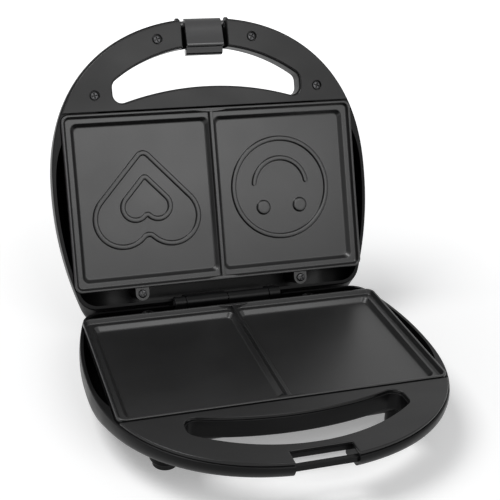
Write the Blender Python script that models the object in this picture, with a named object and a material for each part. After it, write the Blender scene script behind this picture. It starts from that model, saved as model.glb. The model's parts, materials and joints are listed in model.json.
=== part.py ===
"""Two-slice sandwich maker, standing open on its four feet.

A base and a lid, each a moulded shell with a curved front handle, carry a cast cooking plate.
They turn on one rear hinge pin, and a latch clip in the lid's handle hooks under a bar in the base's.
Both halves are modelled lying closed, as a depth below or above the plane where the plates meet.
Metres, +X to the right, -Y to the handles, +Z up, feet on z = 0.
"""

import math

import bmesh
import bpy
from mathutils import Matrix, Vector

for old_object in list(bpy.data.objects):
    bpy.data.objects.remove(old_object, do_unlink=True)

# Clearances
fit_gap = 0.0003
cut_overrun = 0.004
knuckle_gap = 0.0004

stop_gap = 0.0010

# Attitude
plate_gap = 0.0006
latch_swing_angle = math.radians(84.0)

# Shell plan, shared by base and lid
shell_half_width = 0.1205
handle_run = 0.0662
bowl_run = 0.0067
rear_run = 0.0262
widest_back = -0.006
side_radius = 0.245
rear_corner_radius = 0.014
handle_powers = (2.2, 2.4)
bowl_powers = (6.0, 2.5)
plan_steps = (9, 3, 3)

# Shell section, as depths from the plate's rim
rim_depth = 0.0030
handle_depth_share = 0.44776
wall = 0.0025
floor_wall = 0.0026
side_shares = ((0.09, 0.970), (0.24, 0.993), (0.36, 1.0), (0.46, 0.996), (0.60, 0.984), (0.75, 0.951),
               (0.87, 0.898), (0.95, 0.838), (1.0, 0.765))
rear_shares = ((0.09, 0.852), (0.24, 0.890), (0.42, 0.952), (0.60, 1.0), (0.75, 0.998), (0.87, 0.965),
               (0.95, 0.912), (1.0, 0.850))
handle_shares = ((0.20, 0.994), (0.33, 1.0), (0.60, 0.990), (0.80, 0.970), (0.93, 0.938), (1.0, 0.900))
bowl_shares = ((0.09, 1.0), (0.46, 1.0), (0.60, 0.965), (0.72, 0.880), (0.84, 0.770), (0.94, 0.660),
               (1.0, 0.560))
handle_level_shares = (0.33, 0.60, 0.80, 0.93, 1.0)
bowl_level_shares = (0.465, 0.60, 0.72, 0.84, 0.94, 1.0)

# Handle
handle_bar = 0.0205
finger_rear_run = 0.0162
finger_end_length = 0.00477
finger_rear_bow = 0.00303
finger_side_margin = 0.0490
finger_end_radius = 0.0065
cover_thickness = 0.0019
cover_inset = 0.0009
cover_boss_drop = 0.0020
cover_boss_radius = 0.0040
channel_floor = 0.0024
inner_screw_place = 0.0360
lid_screw_insets = (0.0150, 0.0355, 0.0127)
base_screw_insets = (0.0195, 0.0385, 0.0152)

# Cooking plate
plate_side_margin = 0.0099
plate_length = 0.1276
plate_corner_radius = 0.0060
plate_clearance = 0.0006
rim_width = 0.0017
rim_drop = 0.0034
rim_run = 0.0012
rim_edge = 0.0004
band_width = 0.0036
well_drop = 0.0034
well_run = 0.0028
well_corner_radius = 0.0045
plate_wall = 0.0026
skirt_depth = 0.0060
blade_half_width = 0.0011
blade_foot_half_width = 0.0017
divider_half_width = 0.0026
blade_recess = 0.0003
pad_half_length = 0.0125
pad_width = 0.0013
motif_height = 0.0015
motif_width = 0.0035
face_radius = 0.0370
face_shift = 0.00185
motif_back = -0.0014
eye_place = (0.0145, 0.0143)
eye_radius = 0.0055
smile_radius = 0.0208
smile_drop = 0.0013
smile_angle = math.radians(82.0)
heart_half_width = 0.0385
heart_shift = 0.00060
heart_core_share = 0.42
heart_lobe_share = 0.90
heart_tip_share = 2.45
heart_fillet_share = 0.25
eye_top_share = 0.88
casting_inset = 0.0070
casting_draft = 0.0012
lug_clearance = 0.0210
lug_overhang = 0.0047
lug_radius = 0.0050
lug_thickness = 0.0020
tongue_place = 0.0400
tongue_half_width = 0.0080
tongue_reach = 0.0055
tongue_thickness = 0.0020

# Heating
element_radius = 0.0032
element_side_margin = 0.0366
element_end_margin = 0.0308
element_corner_radius = 0.0180
element_bend_radius = 0.0060
element_tail_place = 0.0140
element_tail_length = 0.0040
tray_inset = 0.0015
tray_wall_clearance = 0.0018
tray_thickness = 0.0008
tray_air = 0.0024
tray_draft = 0.0080
tray_corner_radius = 0.0065
clamp_overhang = 0.0050
clamp_half_length = 0.0080
clamp_thickness = 0.0012
clamp_screw_radius = 0.0020
clamp_screw_length = 0.0060
zinc_head_radius = 0.0036
boss_radius = 0.0045
thermostat_radius = 0.0080
thermostat_height = 0.0070
thermostat_place = (0.0450, 0.0100)
fuse_radius = 0.0022
fuse_length = 0.0140
fuse_place = (-0.0450, 0.0100)
block_size = (0.0240, 0.0120, 0.0090)
block_air = 0.0005
block_place = (-0.0300, 0.0450)
wire_way_radius = 0.0018
wire_way_shares = (-0.6, 0.0, 0.6)

# Hinge
hinge_inset = 0.0127
hinge_drop = 0.0027
barrel_radius = 0.0046
hinge_half_width = 0.0405
stub_width = 0.0085
relief_radius = 0.0064
arm_back = 0.0015
arm_height = 0.0110
hinge_pin_radius = 0.0020

# Latch
latch_inset = 0.0038
latch_pin_depth = 0.0085
latch_pin_radius = 0.0013
latch_pin_grip = 0.0030
latch_barrel_radius = 0.0034
latch_width = 0.0280
latch_back = 0.0024
latch_tab_front = 0.0065
latch_neck_share = 0.44
latch_face_shares = ((0.0, -0.20), (0.40, -0.16), (0.68, 0.0), (0.78, 0.14), (0.80, 0.44), (0.86, 0.72),
                     (1.0, 0.91), (0.80, 0.97), (0.46, 0.94), (0.34, 1.02))
hook_shares = ((-0.23, 0.75), (0.23, 1.0), (1.0, 0.90), (1.0, 0.0))
hook_reach = 0.0043
hook_height = 0.0046
stop_half_width = 0.0050
stop_place = 0.0110
stop_thickness = 0.0025
notch_half_width = 0.0175
notch_overlap = 0.0020
cheek_radius = 0.0046
base_notch_half_width = 0.0200
base_notch_run = 0.0140
undercut_run = 0.0175
undercut_depth = 0.0065
bar_inset = 0.0038
bar_width = 0.0034
bar_top_depth = 0.0047
bar_height = 0.0040

# Feet, lead gland and lamps
front_leg_insets = (0.0405, 0.0105)
rear_leg_insets = (0.0505, 0.0250)
leg_radius = 0.0100
leg_taper = 0.0010
leg_top_depth = 0.0120
leg_stand = 0.0015
foot_radius = 0.0080
foot_height = 0.0040
foot_stud_radius = 0.0030
foot_stud_height = 0.0040
gland_place = -0.0450
gland_rise = 0.0080
gland_radius = 0.0048
gland_flange = 0.0015
gland_length = 0.0090
gland_stem_radius = 0.0038
gland_bore_radius = 0.0024
gland_recess = 0.0008
gland_boss_length = 0.0040
lamp_places = (-0.0110, 0.0110)
lamp_back = -0.0300
lamp_radius = 0.0035
lamp_dome = 0.0016
lamp_stem_radius = 0.0028
lamp_stem = 0.0040

# Fasteners
screw_radius = 0.0015
screw_head_radius = 0.0031
screw_head_height = 0.0014
screw_length = 0.0080
screw_tip_gap = 0.0005
screw_sink = 0.0006
head_crown_share = 0.70
head_shoulder_share = 0.55

round_steps = 16
small_steps = 8
bend_steps = 4
smooth_angle = math.radians(32.0)
flat_angle = math.radians(0.1)

# Plan sizes that follow from those above
plate_width = 2 * (shell_half_width - plate_side_margin)
half_length = plate_length / 2
handle_reach = half_length + handle_run
bowl_reach = half_length + bowl_run
rear_reach = half_length + rear_run
finger_front_reach = handle_reach - handle_bar
finger_rear_reach = half_length + finger_rear_run
finger_half_width = shell_half_width - finger_side_margin
lug_place = (hinge_half_width + lug_clearance, half_length + lug_overhang)
well_outer = plate_width / 2 - rim_width - rim_run - band_width
well_middle = (well_outer + divider_half_width) / 2
face_place = (well_middle - face_shift, motif_back)
heart_place = (heart_shift - well_middle, motif_back)
element_half_width = plate_width / 2 - element_side_margin
element_half_length = half_length - element_end_margin
clamp_half_width = element_half_width + clamp_overhang
hinge_back = rear_reach - hinge_inset
latch_pin_back = latch_inset - handle_reach
bar_front = bar_inset - handle_reach
notch_back = notch_overlap - finger_front_reach
base_notch_back = base_notch_run - handle_reach
base_notch_undercut = undercut_run - handle_reach
leg_places = ((shell_half_width - front_leg_insets[0], front_leg_insets[1] - bowl_reach),
              (shell_half_width - rear_leg_insets[0], rear_reach - rear_leg_insets[1]))


def screw_places(insets):
    """Half spacing and y of the two pairs of screws in a handle."""
    return ((inner_screw_place, insets[0] - handle_reach),
            (shell_half_width - insets[1], -half_length - insets[2]))


lid_screw_places = screw_places(lid_screw_insets)
base_screw_places = screw_places(base_screw_insets)

# Depths from the plate's rim that follow from the stack of pieces
well_depth = rim_drop + well_drop
casting_depth = well_depth + plate_wall
flange_depth = skirt_depth + fit_gap
seat_depth = flange_depth + tray_thickness + fit_gap
lug_depth = skirt_depth - lug_thickness
tongue_depth = rim_depth + fit_gap
element_depth = casting_depth + fit_gap + element_radius
clamp_depth = element_depth + element_radius + fit_gap
tray_depth = clamp_depth + clamp_thickness + tray_air
floor_depth = tray_depth + tray_thickness + 2 * fit_gap + block_size[2] + block_air
shell_depth = floor_depth + floor_wall
handle_depth = shell_depth * handle_depth_share
channel_depth = handle_depth - channel_floor
notch_floor = channel_depth
leg_bottom_depth = shell_depth + leg_stand
gland_depth = shell_depth - gland_rise
cover_depth = rim_depth - fit_gap - cover_thickness
cover_boss_depth = rim_depth - fit_gap + cover_boss_drop
base_head_depth = handle_depth - screw_sink - screw_head_height
base_screw_length = base_head_depth - cover_depth - cover_thickness - screw_tip_gap
hook_drop = latch_pin_depth + plate_gap + bar_top_depth + bar_height + fit_gap
hinge_depths = {"base": hinge_drop, "lid": -hinge_drop - plate_gap}
knuckle_width = hinge_half_width - stub_width - 1.5 * knuckle_gap
knuckles = {
    "base": ((-hinge_half_width, -hinge_half_width + stub_width),
             (knuckle_gap / 2, knuckle_gap / 2 + knuckle_width)),
    "lid": ((-knuckle_gap / 2 - knuckle_width, -knuckle_gap / 2),
            (hinge_half_width - stub_width, hinge_half_width)),
}


def material(name, colour, roughness, metallic=0.0):
    made = bpy.data.materials.new(name)
    made.use_nodes = True
    shader = made.node_tree.nodes["Principled BSDF"]
    shader.inputs["Base Color"].default_value = (*colour, 1.0)
    shader.inputs["Roughness"].default_value = roughness
    shader.inputs["Metallic"].default_value = metallic
    return made


shell_plastic = material("black_shell_plastic", (0.018, 0.018, 0.019), 0.42)
cover_plastic = material("black_cover_plastic", (0.040, 0.040, 0.042), 0.50)
latch_plastic = material("black_latch_plastic", (0.022, 0.022, 0.024), 0.28)
coated_aluminium = material("non_stick_coating", (0.075, 0.075, 0.078), 0.45, 0.2)
bare_aluminium = material("bare_aluminium", (0.70, 0.71, 0.72), 0.40, 1.0)
sheath_steel = material("element_sheath", (0.30, 0.29, 0.28), 0.45, 1.0)
zinc_steel = material("plated_steel", (0.48, 0.48, 0.50), 0.30, 1.0)
dark_steel = material("blackened_steel", (0.05, 0.05, 0.052), 0.35, 1.0)
foot_rubber = material("foot_rubber", (0.020, 0.020, 0.020), 0.80)
red_lens = material("red_lens", (0.60, 0.03, 0.02), 0.15)
green_lens = material("green_lens", (0.04, 0.45, 0.08), 0.15)
ceramic = material("white_ceramic", (0.75, 0.73, 0.68), 0.60)


# Plan outlines

def share_at(table, share):
    """The value of a table of (place, value) shares, between its points."""
    if share <= table[0][0]:
        return table[0][1]
    for (low, first), (high, second) in zip(table, table[1:]):
        if share <= high:
            return first + (second - first) * (share - low) / (high - low)
    return table[-1][1]


def plan_outline(half_width, front_reach, back_reach, powers):
    """Closed plan line: a rounded front, arcs of side_radius at the sides, filleted rear corners."""
    front_steps, side_steps, corner_steps = plan_steps
    front_depth = front_reach + widest_back
    half = []
    for step in range(front_steps):
        turn = 0.5 * math.pi * step / front_steps
        half.append((half_width * math.sin(turn) ** (2 / powers[0]),
                     widest_back - front_depth * math.cos(turn) ** (2 / powers[1])))
    side_x = half_width - side_radius
    inner = side_radius - rear_corner_radius
    corner_y = back_reach - rear_corner_radius
    corner_angle = math.asin((corner_y - widest_back) / inner)
    corner_x = side_x + inner * math.cos(corner_angle)
    for step in range(side_steps):
        turn = corner_angle * step / side_steps
        half.append((side_x + side_radius * math.cos(turn), widest_back + side_radius * math.sin(turn)))
    for step in range(corner_steps + 1):
        turn = corner_angle + (0.5 * math.pi - corner_angle) * step / corner_steps
        half.append((corner_x + rear_corner_radius * math.cos(turn),
                     corner_y + rear_corner_radius * math.sin(turn)))
    return half + [(-x, y) for x, y in reversed(half[1:])]


def rounded_rectangle(half_x, half_y, radius, steps=bend_steps):
    points = []
    for quarter, (sign_x, sign_y) in enumerate(((1, -1), (1, 1), (-1, 1), (-1, -1))):
        for step in range(steps + 1):
            turn = 0.5 * math.pi * (quarter - 1 + step / steps)
            points.append((sign_x * (half_x - radius) + radius * math.cos(turn),
                           sign_y * (half_y - radius) + radius * math.sin(turn)))
    return points


def circle(radius, place=(0.0, 0.0), steps=round_steps):
    return [(place[0] + radius * math.cos(2 * math.pi * step / steps),
             place[1] + radius * math.sin(2 * math.pi * step / steps)) for step in range(steps)]


def finger_outline(grow):
    """The crescent finger opening: two arcs joined by rounded ends, grown outwards by grow."""
    end_x = finger_half_width - finger_end_radius
    rear = (end_x, finger_rear_bow - finger_rear_reach)
    front = (end_x, rear[1] - finger_end_length)
    front_bow = finger_front_reach + front[1]
    front_arc = (end_x ** 2 + front_bow ** 2 - finger_end_radius ** 2) / (2 * (front_bow - finger_end_radius))
    rear_arc = (end_x ** 2 + finger_rear_bow ** 2 - finger_end_radius ** 2)
    rear_arc /= 2 * (finger_rear_bow + finger_end_radius)
    front_centre = front_arc - finger_front_reach
    rear_centre = rear_arc - finger_rear_reach
    front_radius = front_arc + grow
    rear_radius = rear_arc - grow
    end_radius = finger_end_radius + grow
    front_lean = math.atan2(front[0], front_centre - front[1])
    rear_lean = math.atan2(rear[0], rear_centre - rear[1])
    right = []
    arc_steps = plan_steps[0] // 2
    for step in range(arc_steps):
        turn = front_lean * step / arc_steps
        right.append((front_radius * math.sin(turn), front_centre - front_radius * math.cos(turn)))
    for step in range(bend_steps + 1):
        turn = front_lean - 0.5 * math.pi + (0.5 * math.pi - front_lean) * step / bend_steps
        right.append((front[0] + end_radius * math.cos(turn), front[1] + end_radius * math.sin(turn)))
    for step in range(bend_steps + 1):
        turn = (0.5 * math.pi + rear_lean) * step / bend_steps
        right.append((rear[0] + end_radius * math.cos(turn), rear[1] + end_radius * math.sin(turn)))
    for step in range(1, arc_steps + 1):
        turn = rear_lean * (1 - step / arc_steps)
        right.append((rear_radius * math.sin(turn), rear_centre - rear_radius * math.cos(turn)))
    return right + [(-x, y) for x, y in reversed(right[1:-1])]


# Mesh tools

def at_depth(points, depth):
    return [(x, y, -depth) for x, y in points]


def finish(name, body, finish_material):
    bmesh.ops.recalc_face_normals(body, faces=body.faces)
    mesh = bpy.data.meshes.new(name)
    body.to_mesh(mesh)
    body.free()
    mesh.materials.append(finish_material)
    made = bpy.data.objects.new(name, mesh)
    bpy.context.scene.collection.objects.link(made)
    return made


def loft(name, rings, finish_material):
    """A closed body through a stack of rings with as many points each, capped at both ends."""
    body = bmesh.new()
    loops = [[body.verts.new(point) for point in ring] for ring in rings]
    count = len(rings[0])
    for lower, upper in zip(loops, loops[1:]):
        for index in range(count):
            after = (index + 1) % count
            body.faces.new((lower[index], lower[after], upper[after], upper[index]))
    body.faces.new(loops[0])
    body.faces.new(loops[-1])
    return finish(name, body, finish_material)


def prism(name, points, top, bottom, finish_material=None):
    """A plan outline extruded from one depth to another."""
    return loft(name, [at_depth(points, top), at_depth(points, bottom)], finish_material or shell_plastic)


def box(name, low, high, finish_material=None):
    """A block between two corners, as x, y and depth."""
    points = [(low[0], low[1]), (high[0], low[1]), (high[0], high[1]), (low[0], high[1])]
    return prism(name, points, low[2], high[2], finish_material)


def turned(name, profile, place, finish_material, steps=round_steps):
    """A body turned about an upright axis from (radius, depth) points, closed at its ends."""
    rings = [at_depth(circle(radius, place, steps), depth) for radius, depth in profile]
    return loft(name, rings, finish_material)


def rod(name, radius, left, right, back, depth, finish_material=None, steps=round_steps):
    """A round bar along X."""
    rings = []
    for x in (left, right):
        rings.append([(x, back + radius * math.cos(2 * math.pi * step / steps),
                       -depth + radius * math.sin(2 * math.pi * step / steps)) for step in range(steps)])
    return loft(name, rings, finish_material or shell_plastic)


def lengthwise(name, profile, x, depth, finish_material):
    """A body turned about an axis along Y, from (radius, y) points, closed at its ends."""
    rings = []
    for radius, y in profile:
        rings.append([(x + radius * math.cos(2 * math.pi * step / round_steps), y,
                       -depth + radius * math.sin(2 * math.pi * step / round_steps))
                      for step in range(round_steps)])
    return loft(name, rings, finish_material)


def crosswise(name, section, half_width, finish_material):
    """A section of (y, depth) points extruded along X, to half_width on both sides."""
    rings = [[(x, y, -depth) for y, depth in section] for x in (-half_width, half_width)]
    return loft(name, rings, finish_material)


def combine(target, tool, operation):
    """Joins, cuts or intersects target with tool, and removes the tool."""
    modifier = target.modifiers.new("combine", "BOOLEAN")
    modifier.object = tool
    modifier.operation = operation
    modifier.solver = "EXACT"
    graph = bpy.context.evaluated_depsgraph_get()
    mesh = bpy.data.meshes.new_from_object(target.evaluated_get(graph), depsgraph=graph)
    target.modifiers.remove(modifier)
    target.data = mesh
    bpy.data.objects.remove(tool, do_unlink=True)
    return target


def cut(target, *tools):
    for tool in tools:
        combine(target, tool, "DIFFERENCE")
    return target


def join(target, *tools):
    for tool in tools:
        combine(target, tool, "UNION")
    return target


def merge_flat_faces(target):
    """Joins neighbouring faces that lie in one plane, left split by the cuts."""
    body = bmesh.new()
    body.from_mesh(target.data)
    bmesh.ops.dissolve_limit(body, angle_limit=flat_angle, verts=body.verts, edges=body.edges)
    body.to_mesh(target.data)
    body.free()
    return target


def swept(name, path, radius, finish_material, closed=False, sides=8):
    """A round bar along a path of points, with filled ends."""
    curve = bpy.data.curves.new(name, "CURVE")
    curve.dimensions = "3D"
    curve.bevel_depth = radius
    curve.bevel_resolution = sides // 2 - 2
    curve.use_fill_caps = True
    spline = curve.splines.new("POLY")
    spline.points.add(len(path) - 1)
    for point, place in zip(spline.points, path):
        point.co = (*place, 1.0)
    spline.use_cyclic_u = closed
    guide = bpy.data.objects.new(name, curve)
    bpy.context.scene.collection.objects.link(guide)
    graph = bpy.context.evaluated_depsgraph_get()
    mesh = bpy.data.meshes.new_from_object(guide.evaluated_get(graph), depsgraph=graph)
    bpy.data.objects.remove(guide, do_unlink=True)
    body = bmesh.new()
    body.from_mesh(mesh)
    bmesh.ops.remove_doubles(body, verts=body.verts, dist=fit_gap / 100)
    return finish(name, body, finish_material)


def open_angle():
    """How far the lid turns before its rear wall meets the base's, less the gap kept there."""
    total = 0
    for axis_depth in hinge_depths.values():
        walls = [(shell_depth * share - axis_depth, rear_reach * back_share - hinge_back)
                 for share, back_share in rear_shares]
        rise, out = min(walls, key=lambda point: math.atan2(*point))
        total += math.atan2(rise, out)
        reach = math.hypot(rise, out)
    return total - stop_gap / reach


# Shells

def shell_size(depth):
    """Half width, bowl front and rear of the shell's outside at one depth."""
    share = depth / shell_depth
    return (shell_half_width * share_at(side_shares, share), bowl_reach * share_at(bowl_shares, share),
            rear_reach * share_at(rear_shares, share))


def handle_outline(depth, inset):
    """The plan line round the bowl and its handle at one depth, moved in by inset."""
    half_width, _, back = shell_size(depth)
    front = handle_reach * share_at(handle_shares, depth / handle_depth)
    return plan_outline(half_width - inset, front - inset, back - inset, handle_powers)


def bowl_outline(depth):
    half_width, front, back = shell_size(depth)
    return plan_outline(half_width, front, back, bowl_powers)


def cavity_outline(depth):
    """The bowl's hollow, a wall in from the outside here and a floor up from the outside below."""
    here, below = shell_size(depth), shell_size(depth + floor_wall)
    half_width, front, back = (min(pair) - wall for pair in zip(here, below))
    return plan_outline(half_width, front, back, bowl_powers)


def shell_body(name):
    """The outside of the bowl and its handle, solid."""
    handle_depths = [rim_depth] + [handle_depth * share for share in handle_level_shares]
    rings = [at_depth(handle_outline(depth, 0), depth) for depth in handle_depths]
    rings += [at_depth(bowl_outline(shell_depth * share), shell_depth * share) for share in bowl_level_shares]
    return loft(name, rings, shell_plastic)


def cavity():
    depths = [rim_depth] + [handle_depth * share for share in handle_level_shares[:-2]]
    depths += [shell_depth * share - floor_wall for share in bowl_level_shares[1:]]
    rings = [at_depth(cavity_outline(rim_depth), rim_depth - cut_overrun)]
    rings += [at_depth(cavity_outline(depth), depth) for depth in depths]
    return loft("cavity", rings, shell_plastic)


def handle_channel(notch_half, notch_rear, places):
    """The hollow under the handle's cover, less the walls and screw bosses that stand in it."""
    rings = [at_depth(handle_outline(rim_depth, wall), rim_depth - cut_overrun),
             at_depth(handle_outline(rim_depth, wall), rim_depth),
             at_depth(handle_outline(channel_depth, wall), channel_depth)]
    channel = loft("channel", rings, shell_plastic)
    low, high = rim_depth - 2 * cut_overrun, handle_depth
    cut(channel, box("behind", (-shell_half_width, -half_length - plate_clearance - wall, low),
                     (shell_half_width, rear_reach, high)))
    cut(channel, prism("round_opening", finger_outline(wall), low, high))
    cut(channel, prism("round_bowl", bowl_outline(handle_depth), low, high))
    cut(channel, box("round_notch", (-notch_half - wall, -handle_reach - wall, low),
                     (notch_half + wall, notch_rear + wall, high)))
    for x, y in places:
        for side in (-1, 1):
            boss = circle(boss_radius, (side * x, y), small_steps)
            cut(channel, prism("boss", boss, cover_boss_depth + fit_gap, high))
    return channel


def add_hinge(shell, half):
    """Knuckles and their arms, room for the other half's knuckles, and the pin's bore."""
    depth = hinge_depths[half]
    other = "lid" if half == "base" else "base"
    for left, right in knuckles[other]:
        cut(shell, rod("relief", relief_radius, left - knuckle_gap, right + knuckle_gap, hinge_back, depth))
    for left, right in knuckles[half]:
        arm = box("arm", (left, hinge_back - barrel_radius, depth),
                  (right, hinge_back + arm_back, depth + arm_height))
        join(arm, rod("knuckle", barrel_radius, left, right, hinge_back, depth))
        join(shell, arm)
    end = hinge_half_width + cut_overrun
    cut(shell, rod("pin_bore", hinge_pin_radius + fit_gap, -end, end, hinge_back, depth))


def moulded_shell(half, shell, notch_half, notch_rear, places):
    """What the base's and the lid's shells share, worked on the solid outside."""
    cut(shell, cavity())
    cut(shell, handle_channel(notch_half, notch_rear, places))
    seat = rounded_rectangle(plate_width / 2 + plate_clearance, half_length + plate_clearance,
                             plate_corner_radius + plate_clearance)
    cut(shell, prism("plate_seat", seat, -cut_overrun, seat_depth))
    cut(shell, prism("tray_room", tray_outline(-fit_gap - tray_thickness, 0), 0, channel_depth))
    cut(shell, prism("finger_opening", finger_outline(0), -cut_overrun, handle_depth + cut_overrun))
    for side in (-1, 1):
        low = (side * tongue_place - tongue_half_width - fit_gap, -half_length - tongue_reach - fit_gap,
               -cut_overrun)
        high = (side * tongue_place + tongue_half_width + fit_gap, -half_length,
                tongue_depth + tongue_thickness + fit_gap)
        cut(shell, box("tongue_slot", low, high))
        place = (side * lug_place[0], lug_place[1])
        post = ((lug_radius, flange_depth), (lug_radius, floor_depth + floor_wall / 2))
        join(shell, turned("lug_post", post, place, shell_plastic, small_steps))
        cut(shell, prism("lug_pilot", circle(screw_radius + fit_gap, place, small_steps), 0,
                         lug_depth + screw_length + fit_gap))
    add_hinge(shell, half)
    return shell


def legs(shell):
    for x, y in leg_places:
        for side in (-1, 1):
            place = (side * x, y)
            join(shell, turned("leg", ((leg_radius, leg_top_depth), (leg_radius, shell_depth),
                                       (leg_radius - leg_taper, leg_bottom_depth)), place, shell_plastic))


def base_shell():
    """Base shell: four legs, a boss for the lead's gland, and a notch with the bar that the latch hooks."""
    shell = shell_body("base_shell")
    legs(shell)
    boss_front = rear_reach - wall - gland_boss_length
    join(shell, lengthwise("gland_boss", ((gland_radius + wall, boss_front),
                                          (gland_radius + wall, rear_reach - gland_recess)),
                           gland_place, gland_depth, shell_plastic))
    moulded_shell("base", shell, base_notch_half_width, base_notch_undercut, base_screw_places)
    for x, y in leg_places:
        for side in (-1, 1):
            cut(shell, prism("foot_socket", circle(foot_stud_radius + fit_gap, (side * x, y), small_steps),
                             leg_bottom_depth - foot_stud_height - fit_gap, leg_bottom_depth + cut_overrun))
    front, low, high = -handle_reach - cut_overrun, -cut_overrun, handle_depth + cut_overrun
    section = ((front, low), (base_notch_back, low), (base_notch_back, undercut_depth),
               (base_notch_undercut, undercut_depth), (base_notch_undercut, high), (front, high))
    cut(shell, crosswise("notch", section, base_notch_half_width, shell_plastic))
    end = base_notch_half_width + wall / 2
    join(shell, box("latch_bar", (-end, bar_front, bar_top_depth),
                    (end, bar_front + bar_width, bar_top_depth + bar_height)))
    for x, y in base_screw_places:
        for side in (-1, 1):
            place = (side * x, y)
            cut(shell, prism("screw_hole", circle(screw_radius + fit_gap, place, small_steps), 0,
                             handle_depth + cut_overrun))
            cut(shell, prism("counterbore", circle(screw_head_radius + fit_gap, place),
                             base_head_depth - fit_gap, handle_depth + cut_overrun))
    seat, stem, flange = rear_reach - gland_recess, gland_stem_radius + fit_gap, gland_radius + fit_gap
    cut(shell, lengthwise("gland_hole", ((stem, boss_front - cut_overrun), (stem, seat), (flange, seat),
                                         (flange, rear_reach + cut_overrun)),
                          gland_place, gland_depth, shell_plastic))
    return shell


def stop_depth():
    """Where the back of the folded latch clip lies over its stop rib."""
    turn = latch_swing_angle
    reach = stop_place - stop_thickness / 2
    back = latch_back * math.sin(turn) + (reach + latch_back * math.cos(turn)) / math.tan(turn)
    return latch_pin_depth - back + fit_gap


def lid_shell():
    """Lid shell: the latch's notch with its cheeks, pin bore and stop rib, and holes for the lamps."""
    shell = shell_body("lid_shell")
    moulded_shell("lid", shell, notch_half_width, notch_back, lid_screw_places)
    end = notch_half_width + wall / 2
    join(shell, rod("cheek", cheek_radius, -end, end, latch_pin_back, latch_pin_depth))
    cut(shell, box("notch", (-notch_half_width, -handle_reach - cut_overrun, -cut_overrun),
                   (notch_half_width, notch_back, notch_floor)))
    end = notch_half_width + latch_pin_grip
    cut(shell, rod("latch_bore", latch_pin_radius + fit_gap, -end, end, latch_pin_back, latch_pin_depth))
    middle = latch_pin_back + stop_place
    join(shell, box("latch_stop", (-stop_half_width, middle - stop_thickness / 2, stop_depth()),
                    (stop_half_width, middle + stop_thickness / 2, notch_floor + channel_floor / 2)))
    for x, y in lid_screw_places:
        for side in (-1, 1):
            place = (side * x, y)
            cut(shell, prism("pilot", circle(screw_radius + fit_gap, place, small_steps), 0,
                             cover_depth + screw_sink + screw_head_height + screw_length + fit_gap))
    for x in lamp_places:
        cut(shell, prism("lamp_hole", circle(lamp_stem_radius + fit_gap, (x, lamp_back), small_steps),
                         floor_depth - cut_overrun, shell_depth + cut_overrun))
    return shell


def handle_cover(name, notch_half, notch_rear, places, countersunk):
    """The handle's flat inner face, with a chamfered edge and bosses that locate it."""
    rings = [at_depth(handle_outline(rim_depth, cover_inset + rim_edge), cover_depth),
             at_depth(handle_outline(rim_depth, cover_inset), cover_depth + rim_edge),
             at_depth(handle_outline(rim_depth, cover_inset), cover_depth + cover_thickness)]
    cover = loft(name, rings, cover_plastic)
    low, high = -cut_overrun, handle_depth
    cut(cover, box("behind", (-shell_half_width, -half_length - plate_clearance - fit_gap, low),
                   (shell_half_width, rear_reach, high)))
    cut(cover, prism("finger_opening", finger_outline(cover_inset), low, high))
    cut(cover, box("notch", (-notch_half, -handle_reach - wall, low), (notch_half, notch_rear, high)))
    for x, y in places:
        for side in (-1, 1):
            place = (side * x, y)
            join(cover, prism("boss", circle(cover_boss_radius, place, small_steps),
                              cover_depth + cover_thickness / 2, cover_boss_depth))
            if countersunk:
                cut(cover, prism("counterbore", circle(screw_head_radius + 2 * fit_gap, place, small_steps),
                                 low, cover_depth + screw_sink + screw_head_height + fit_gap))
            top = low if countersunk else cover_depth + cover_thickness
            cut(cover, prism("screw_hole", circle(screw_radius + fit_gap, place, small_steps), top, high))
    return cover


# Cooking plates

def plate_ring(inset, depth, radius=None):
    corner = plate_corner_radius - inset if radius is None else radius
    return at_depth(rounded_rectangle(plate_width / 2 - inset, half_length - inset, corner), depth)


def well_cutter(side):
    """One well, its walls drawn in from the band down to a flat floor."""
    half_y = half_length - rim_width - rim_run - band_width
    half_x = (well_outer - divider_half_width) / 2
    middle = side * well_middle

    def ring(inset, depth):
        points = rounded_rectangle(half_x - inset, half_y - inset, well_corner_radius)
        return at_depth([(middle + x, y) for x, y in points], depth)

    return loft("well", [ring(0, -cut_overrun), ring(0, rim_drop), ring(well_run, well_depth)],
                coated_aluminium)


def lens_outline(reach, half_width, place):
    """Two flat arcs that meet in points, along X."""
    radius = (reach ** 2 + half_width ** 2) / (2 * half_width)
    points = []
    for side in (-1, 1):
        for step in range(bend_steps):
            x = side * reach * (2 * step / bend_steps - 1)
            y = math.sqrt(radius ** 2 - x ** 2) - radius + half_width
            points.append((place[0] - x, place[1] + side * y))
    return points


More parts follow.
